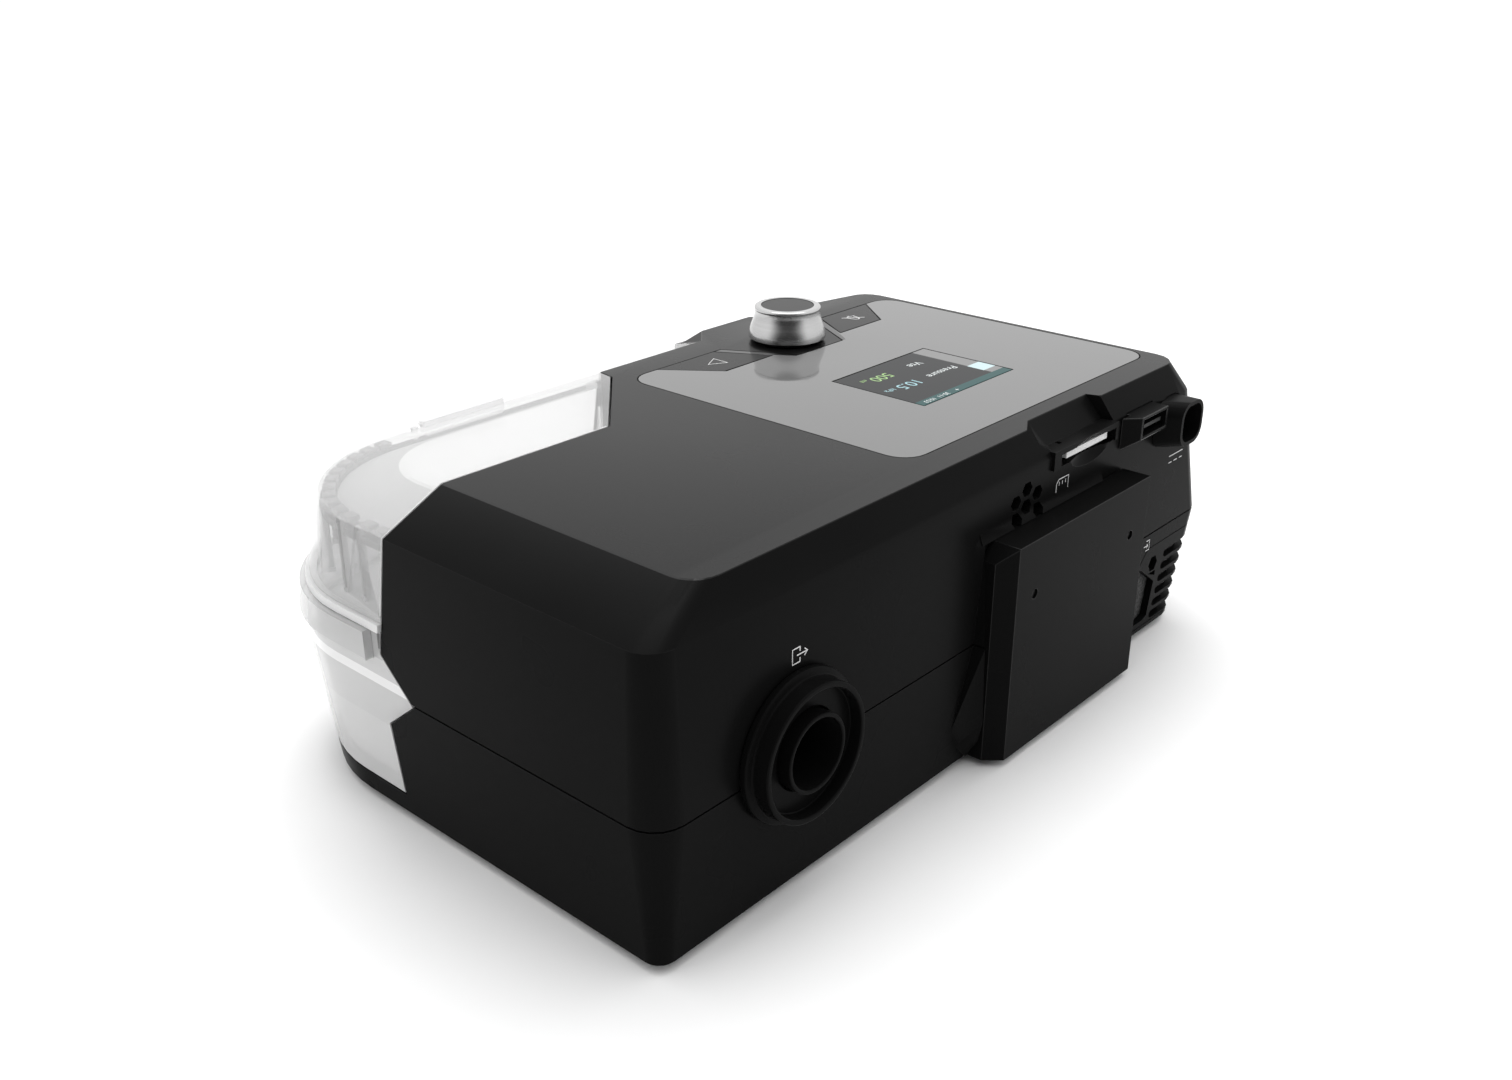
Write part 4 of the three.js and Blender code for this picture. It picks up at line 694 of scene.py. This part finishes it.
def knobProfile(shape, height):
    top = height - shape['rimHeight']
    swell = shape['rimHeight'] * shape['swellShare']
    rounding = shape['rimHeight'] - swell
    points = [(shape['hollowRadius'], shape['hollow']), (shape['hollowRadius'], 0),
              (shape['base'] - shape['lip'], 0), (shape['base'], shape['lip']),
              (shape['base'], shape['skirt'])]
    for i in range(1, shape['steps'] + 1):
        share = i / shape['steps']
        slope = math.sin(share * math.pi / 2) ** 2
        points.append((shape['base'] + (shape['waist'] - shape['base']) * slope,
                       shape['skirt'] + (top - shape['skirt']) * share))
    turns = [i / shape['rimSteps'] * math.pi / 2 for i in range(1, shape['rimSteps'] + 1)]
    for turn in turns:
        points.append((shape['waist'] + (shape['rim'] - shape['waist']) * math.sin(turn),
                       top + swell * (1 - math.cos(turn))))
    for turn in turns:
        points.append((shape['rim'] - shape['rimRound'] * (1 - math.cos(turn)),
                       height - rounding * (1 - math.sin(turn))))
    points += [(shape['inlay'], height), (shape['inlay'], height - shape['sink'])]
    return [(radius * mm, reach * mm) for radius, reach in points]


knobHeight = (knobHigh.z - knobLow.z) / mm
knobFoot = Vector((knobCentre.x, knobCentre.y, knobLow.z))
knob = turnedPiece('knobBody', knobProfile(knobShape, knobHeight), knobFoot, 'Z', False)
paint(knob, materials['brushed_knob'])
standsFor(knob, 'knob')

inlayShape = {'radius': 9.1, 'low': 0.65, 'high': 0.12, 'edge': 0.12}
inlayProfile = [(inlayShape['radius'] * mm, (knobHeight - inlayShape['low']) * mm),
                (inlayShape['radius'] * mm, (knobHeight - inlayShape['high']) * mm)]
inlay = turnedPiece('knobInlay', inlayProfile, knobFoot, 'Z', False, edge=inlayShape['edge'] * mm)
paint(inlay, materials['key_black'])
standsFor(inlay, 'knob_inlay')
print('knob turned')

# Hose outlet: the outer ring with its flange and the taper inside
outletLow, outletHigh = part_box('hose_outlet')
outletCentre = (outletLow + outletHigh) / 2
outletFace = outletHigh.y
tubeLow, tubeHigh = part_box('hose_outlet_tube')
outletShape = {'ring': 19.3, 'inner': 17.6, 'flange': 21.35, 'flangeAt': 4.9, 'rootAt': 7.4,
               'floor': 3.8, 'hub': 11.3, 'edge': 0.45}
shape = {key: value * mm for key, value in outletShape.items()}
outletProfile = [
    (shape['hub'], -shape['floor']), (shape['inner'], -shape['floor']),
    (shape['inner'], 0), (shape['ring'], 0), (shape['ring'], -shape['flangeAt']),
    (shape['flange'], -shape['flangeAt'] - shape['edge']),
    (shape['flange'], -shape['rootAt']), (shape['hub'], -shape['rootAt'])
]
outletPlace = Vector((outletCentre.x, outletFace, outletCentre.z))
outlet = turnedPiece('hoseOutletRing', outletProfile, outletPlace, 'Y', True, edge=shape['edge'])
paint(outlet, materials['satin_black'])
standsFor(outlet, 'hose_outlet')

tubeShape = {'outer': (tubeHigh.x - tubeLow.x) / 2, 'bore': 9.75 * mm, 'edge': 0.35 * mm}
tubeLength = tubeHigh.y - tubeLow.y
tubeProfile = [(tubeShape['bore'], -tubeLength), (tubeShape['bore'], 0), (tubeShape['outer'], 0),
               (tubeShape['outer'], -tubeLength)]
tube = turnedPiece('hoseOutletTube', tubeProfile, outletPlace, 'Y', True, edge=tubeShape['edge'])
paint(tube, materials['satin_black'])
standsFor(tube, 'hose_outlet_tube')
print('hose outlet turned')

# Display: a dark window with a lit header strip and side bar
windowLow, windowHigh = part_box('display_window')
screenShape = {'header': 3.4 * mm, 'bar': 7.0 * mm, 'line': 0.35 * mm, 'blockLow': 6.4 * mm,
               'blockHigh': 13.0 * mm}
screenColours = {'page': (0.05, 0.051, 0.052, 1), 'header': (0.05, 0.1, 0.1, 1), 'bar': grey(0.24),
                 'line': grey(0.12), 'block': (0.5, 0.62, 0.64, 1)}
glass = {'cells': 3500, 'gloss': 0.1, 'spread': 0.02, 'specular': 0.02}


def screenLook(place):
    across, along, up = axesOf(place)
    fromTop = windowHigh.y - along
    fromSide = across - windowLow.x
    header = fromTop < screenShape['header']
    side = (fromSide < screenShape['bar']) * (1 - header)
    block = side * (fromTop < screenShape['blockHigh']) * (fromTop > screenShape['blockLow'])
    edge = side * (fromSide > screenShape['bar'] - screenShape['line'])
    page = mixed(side, screenColours['page'], screenColours['bar'])
    page = mixed(edge, page, screenColours['line'])
    page = mixed(block, page, screenColours['block'])
    lit = mixed(header, page, screenColours['header'])
    cells = noise(place, glass['cells'], 1)
    return {
        'Base Color': lit,
        'Roughness': glass['gloss'] + glass['spread'] * cells,
        'Specular IOR Level': glass['specular'],
    }


dressed('display_window', 'displayWindow', 0.15 * mm, finish('displayGlass', screenLook))

# Prints stand a few hundredths of a millimetre proud
printShape = {'textDeep': 0.03 * mm, 'textSunk': 0.02 * mm, 'lineRaised': 0.04 * mm, 'flatShare': 0.3,
              'shadeShare': 0.85, 'cloud': 300, 'roughness': 0.4, 'spread': 0.1}


def printLook(colour):
    def look(place):
        cloud = noise(place, printShape['cloud'], 2)
        shade = tuple(channel * printShape['shadeShare'] for channel in colour[:3]) + (1,)
        return {
            'Base Color': mixed(cloud, shade, colour),
            'Roughness': printShape['roughness'] + printShape['spread'] * cloud,
        }
    return look


# A word or number on the display, as a thin print
def screenText(name, text, size, left, base, colour):
    bpy.ops.object.select_all(action='DESELECT')
    bpy.ops.object.text_add(location=(left * mm, base * mm, screenTop))
    piece = bpy.context.active_object
    piece.name = name
    piece.data.body = text
    piece.data.size = size * mm
    piece.data.extrude = printShape['textDeep']
    bpy.ops.object.convert(target='MESH')
    bpy.ops.object.transform_apply(location=True, rotation=True, scale=True)
    paint(piece, finish(name + 'Print', printLook(colour)))
    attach(piece, 'case')


screenTop = windowHigh.z - printShape['textSunk']
printColours = {'blue': (0.32, 0.55, 0.6, 1), 'green': (0.3, 0.5, 0.18, 1),
                'white': (0.7, 0.74, 0.74, 1), 'pale': grey(0.8)}
# Each text with its letter size, left end and base line in millimetres
screenTexts = {
    'pressureDigits': ('10.5', 6.4, -40.8, 26.0, 'blue'),
    'pressureUnit': ('hPa', 3.0, -28.3, 26.3, 'blue'),
    'pressureWord': ('Pressure', 4.2, -60.9, 26.5, 'white'),
    'volumeDigits': ('500', 6.3, -39.8, 15.0, 'green'),
    'volumeUnit': ('ml', 2.8, -29.3, 14.5, 'green'),
    'volumeWord': ('Vte', 4.4, -56.8, 15.3, 'white'),
    'headerClock': ('30-11  10:53', 2.5, -36.6, 41.5, 'white'),
    'headerMark': ('+', 3.0, -41.8, 41.4, 'white'),
}
for name, (text, size, left, base, colour) in screenTexts.items():
    screenText(name, text, size, left, base, printColours[colour])
print('display lit')


# Thin printed lines on a face: strokes in two coordinates, flattened onto the face
def printedLines(name, strokes, width, place, facing, body):
    level = facing == 'Z'
    raised = Vector((0, 0, 1) if level else (0, 1, 0)) * printShape['lineRaised']
    lines = []
    for points, cyclic in strokes:
        spots = [Vector((u, v, 0) if level else (-u, 0, v)) for u, v in points]
        lines.append(([place + spot * mm + raised for spot in spots], cyclic))
    piece = wireMesh(name, lines, width / 2, 1)
    startEdit(piece)
    bpy.ops.mesh.select_all(action='SELECT')
    flat = (1, 1, printShape['flatShare']) if level else (1, printShape['flatShare'], 1)
    bpy.ops.transform.resize(value=flat, center_override=place)
    bpy.ops.mesh.normals_make_consistent(inside=False)
    endEdit()
    paint(piece, finish(name + 'Print', printLook(printColours['pale'])))
    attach(piece, body)


def keySymbol(name, strokes, width, node):
    low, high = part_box(node)
    middle = Vector(((low.x + high.x) / 2, (low.y + high.y) / 2, high.z))
    printedLines(name, strokes, width * mm, middle, 'Z', bodyOfNode[node])


# Play triangle and crossed bell on the keys
triangle = [([(3.4, 0), (-2.6, 3.2), (-2.6, -3.2)], True)]
bell = [
    ([(-2.6, -1.8), (-1.8, -1.2), (-1.6, 0.6), (-1.1, 1.9), (0, 2.5), (1.1, 1.9), (1.6, 0.6),
      (1.8, -1.2), (2.6, -1.8)], True),
    ([(-0.6, -2.5), (0.6, -2.5)], False),
    ([(-3.4, 2.6), (3.4, -2.8)], False),
]
keySymbol('startSymbol', triangle, 0.5, 'start_button')
keySymbol('muteSymbol', bell, 0.45, 'mute_button')

# Symbols on the rear wall: air out, card, supply and air in
outletSymbol = [
    ([(0.6, 2.1), (-2.3, 2.1), (-2.3, -2.1), (0.6, -2.1)], False),
    ([(-0.6, 0), (3.4, 0)], False),
    ([(2.3, 1), (3.5, 0), (2.3, -1)], False),
    ([(0.6, 2.1), (0.6, 0.9)], False),
    ([(0.6, -2.1), (0.6, -0.9)], False),
]
cardSymbol = [
    ([(-3.4, -2.4), (-3.4, 1.2), (-2.2, 2.4), (3.4, 2.4), (3.4, -2.4)], True),
    ([(-1.8, 0.4), (-1.8, 1.5)], False),
    ([(0, 0.4), (0, 1.5)], False),
    ([(1.8, 0.4), (1.8, 1.5)], False),
]
powerSymbol = [
    ([(-4.8, 1.2), (4.8, 1.2)], False),
    ([(-4.8, -1.2), (-2.6, -1.2)], False),
    ([(-1.2, -1.2), (1.2, -1.2)], False),
    ([(2.6, -1.2), (4.8, -1.2)], False),
]
inletSymbol = [
    ([(-0.4, 1.8), (1.9, 1.8), (1.9, -1.8), (-0.4, -1.8)], False),
    ([(-2, 0), (0.8, 0)], False),
    ([(0, 0.8), (0.8, 0), (0, -0.8)], False),
]
# How far the outlet tube stands out of the rear wall
tubeOut = 7.75 * mm
rearWall = tubeHigh.y - tubeOut
outletX = outletCentre.x / mm
outletZ = outletCentre.z / mm
# Each symbol's middle across and up, and its line width, in millimetres
rearSymbols = {'outletSymbol': (outletSymbol, outletX - 1, outletZ + 25, 0.4),
               'cardSymbol': (cardSymbol, -37.5, 77.7, 0.34),
               'powerSymbol': (powerSymbol, -113.5, 65.5, 0.34),
               'inletSymbol': (inletSymbol, -99.6, 36.5, 0.34)}
for name, (strokes, right, up, width) in rearSymbols.items():
    spot = Vector((right * mm, rearWall, up * mm))
    printedLines(name, strokes, width * mm, spot, 'Y', 'case')
print('symbols printed')

# Pale floor and soft light
floorSize = 12
bpy.ops.object.select_all(action='DESELECT')
bpy.ops.mesh.primitive_plane_add(size=floorSize, location=(0, 0, 0))
floor = bpy.context.active_object
floor.name = 'floor'
paint(floor, finish('paleFloor', plainLook(grey(0.9), grey(0.92), 0.7, 300)))

# The room is a little brighter overhead, and dark on the side that the camera looks from
room = {'liftHeight': 0.6, 'low': 1.15, 'high': 1.3, 'across': 0.746, 'along': 0.666,
        'dimFrom': 0.4, 'dimTo': 0.92, 'darkest': 0.05}
world = bpy.data.worlds.new('studio')
bpy.context.scene.world = world
world.use_nodes = True
worldTree = world.node_tree
sky = Wire(worldTree, worldTree.nodes.new('ShaderNodeTexCoord').outputs['Generated'])
skyX, skyY, skyZ = axesOf(sky)
eased = {'interpolation_type': 'SMOOTHSTEP'}
raising = {0: skyZ, 1: 0, 2: room['liftHeight'], 3: room['low'], 4: room['high']}
lift = skyZ.node('MapRange', eased, raising)
behind = skyX * room['across'] + skyY * room['along']
dimming = {0: behind, 1: room['dimFrom'], 2: room['dimTo'], 3: 1, 4: room['darkest']}
dim = behind.node('MapRange', eased, dimming)
studio = lift * dim
background = worldTree.nodes['Background']
worldTree.links.new(studio.socket, background.inputs['Strength'])
background.inputs['Color'].default_value = grey(1)

topLight = {'place': (-0.3, -0.2, 1.4), 'size': 1.2, 'power': 9}
light = bpy.data.lights.new('topLight', 'AREA')
light.shape = 'DISK'
light.size = topLight['size']
light.energy = topLight['power']
lamp = bpy.data.objects.new('topLight', light)
bpy.context.scene.collection.objects.link(lamp)
lamp.location = topLight['place']
lamp.rotation_euler = (-Vector(topLight['place'])).to_track_quat('-Z', 'Y').to_euler()

# The photo's camera
cameraView = {'place': (0.32915, 0.28755, 0.2419), 'forward': (-0.6814, -0.6079, -0.4075),
              'focal': 1456.46, 'width': 1512, 'sensor': 36, 'near': 0.01, 'far': 50}
camera = bpy.data.cameras.new('camera')
camera.sensor_width = cameraView['sensor']
camera.lens = cameraView['sensor'] * cameraView['focal'] / cameraView['width']
camera.clip_start = cameraView['near']
camera.clip_end = cameraView['far']
cameraObject = bpy.data.objects.new('camera', camera)
bpy.context.scene.collection.objects.link(cameraObject)
cameraObject.location = cameraView['place']
cameraObject.rotation_euler = Vector(cameraView['forward']).to_track_quat('-Z', 'Y').to_euler()
bpy.context.scene.camera = cameraObject
bpy.context.scene.view_settings.view_transform = 'Standard'

print('stage set')
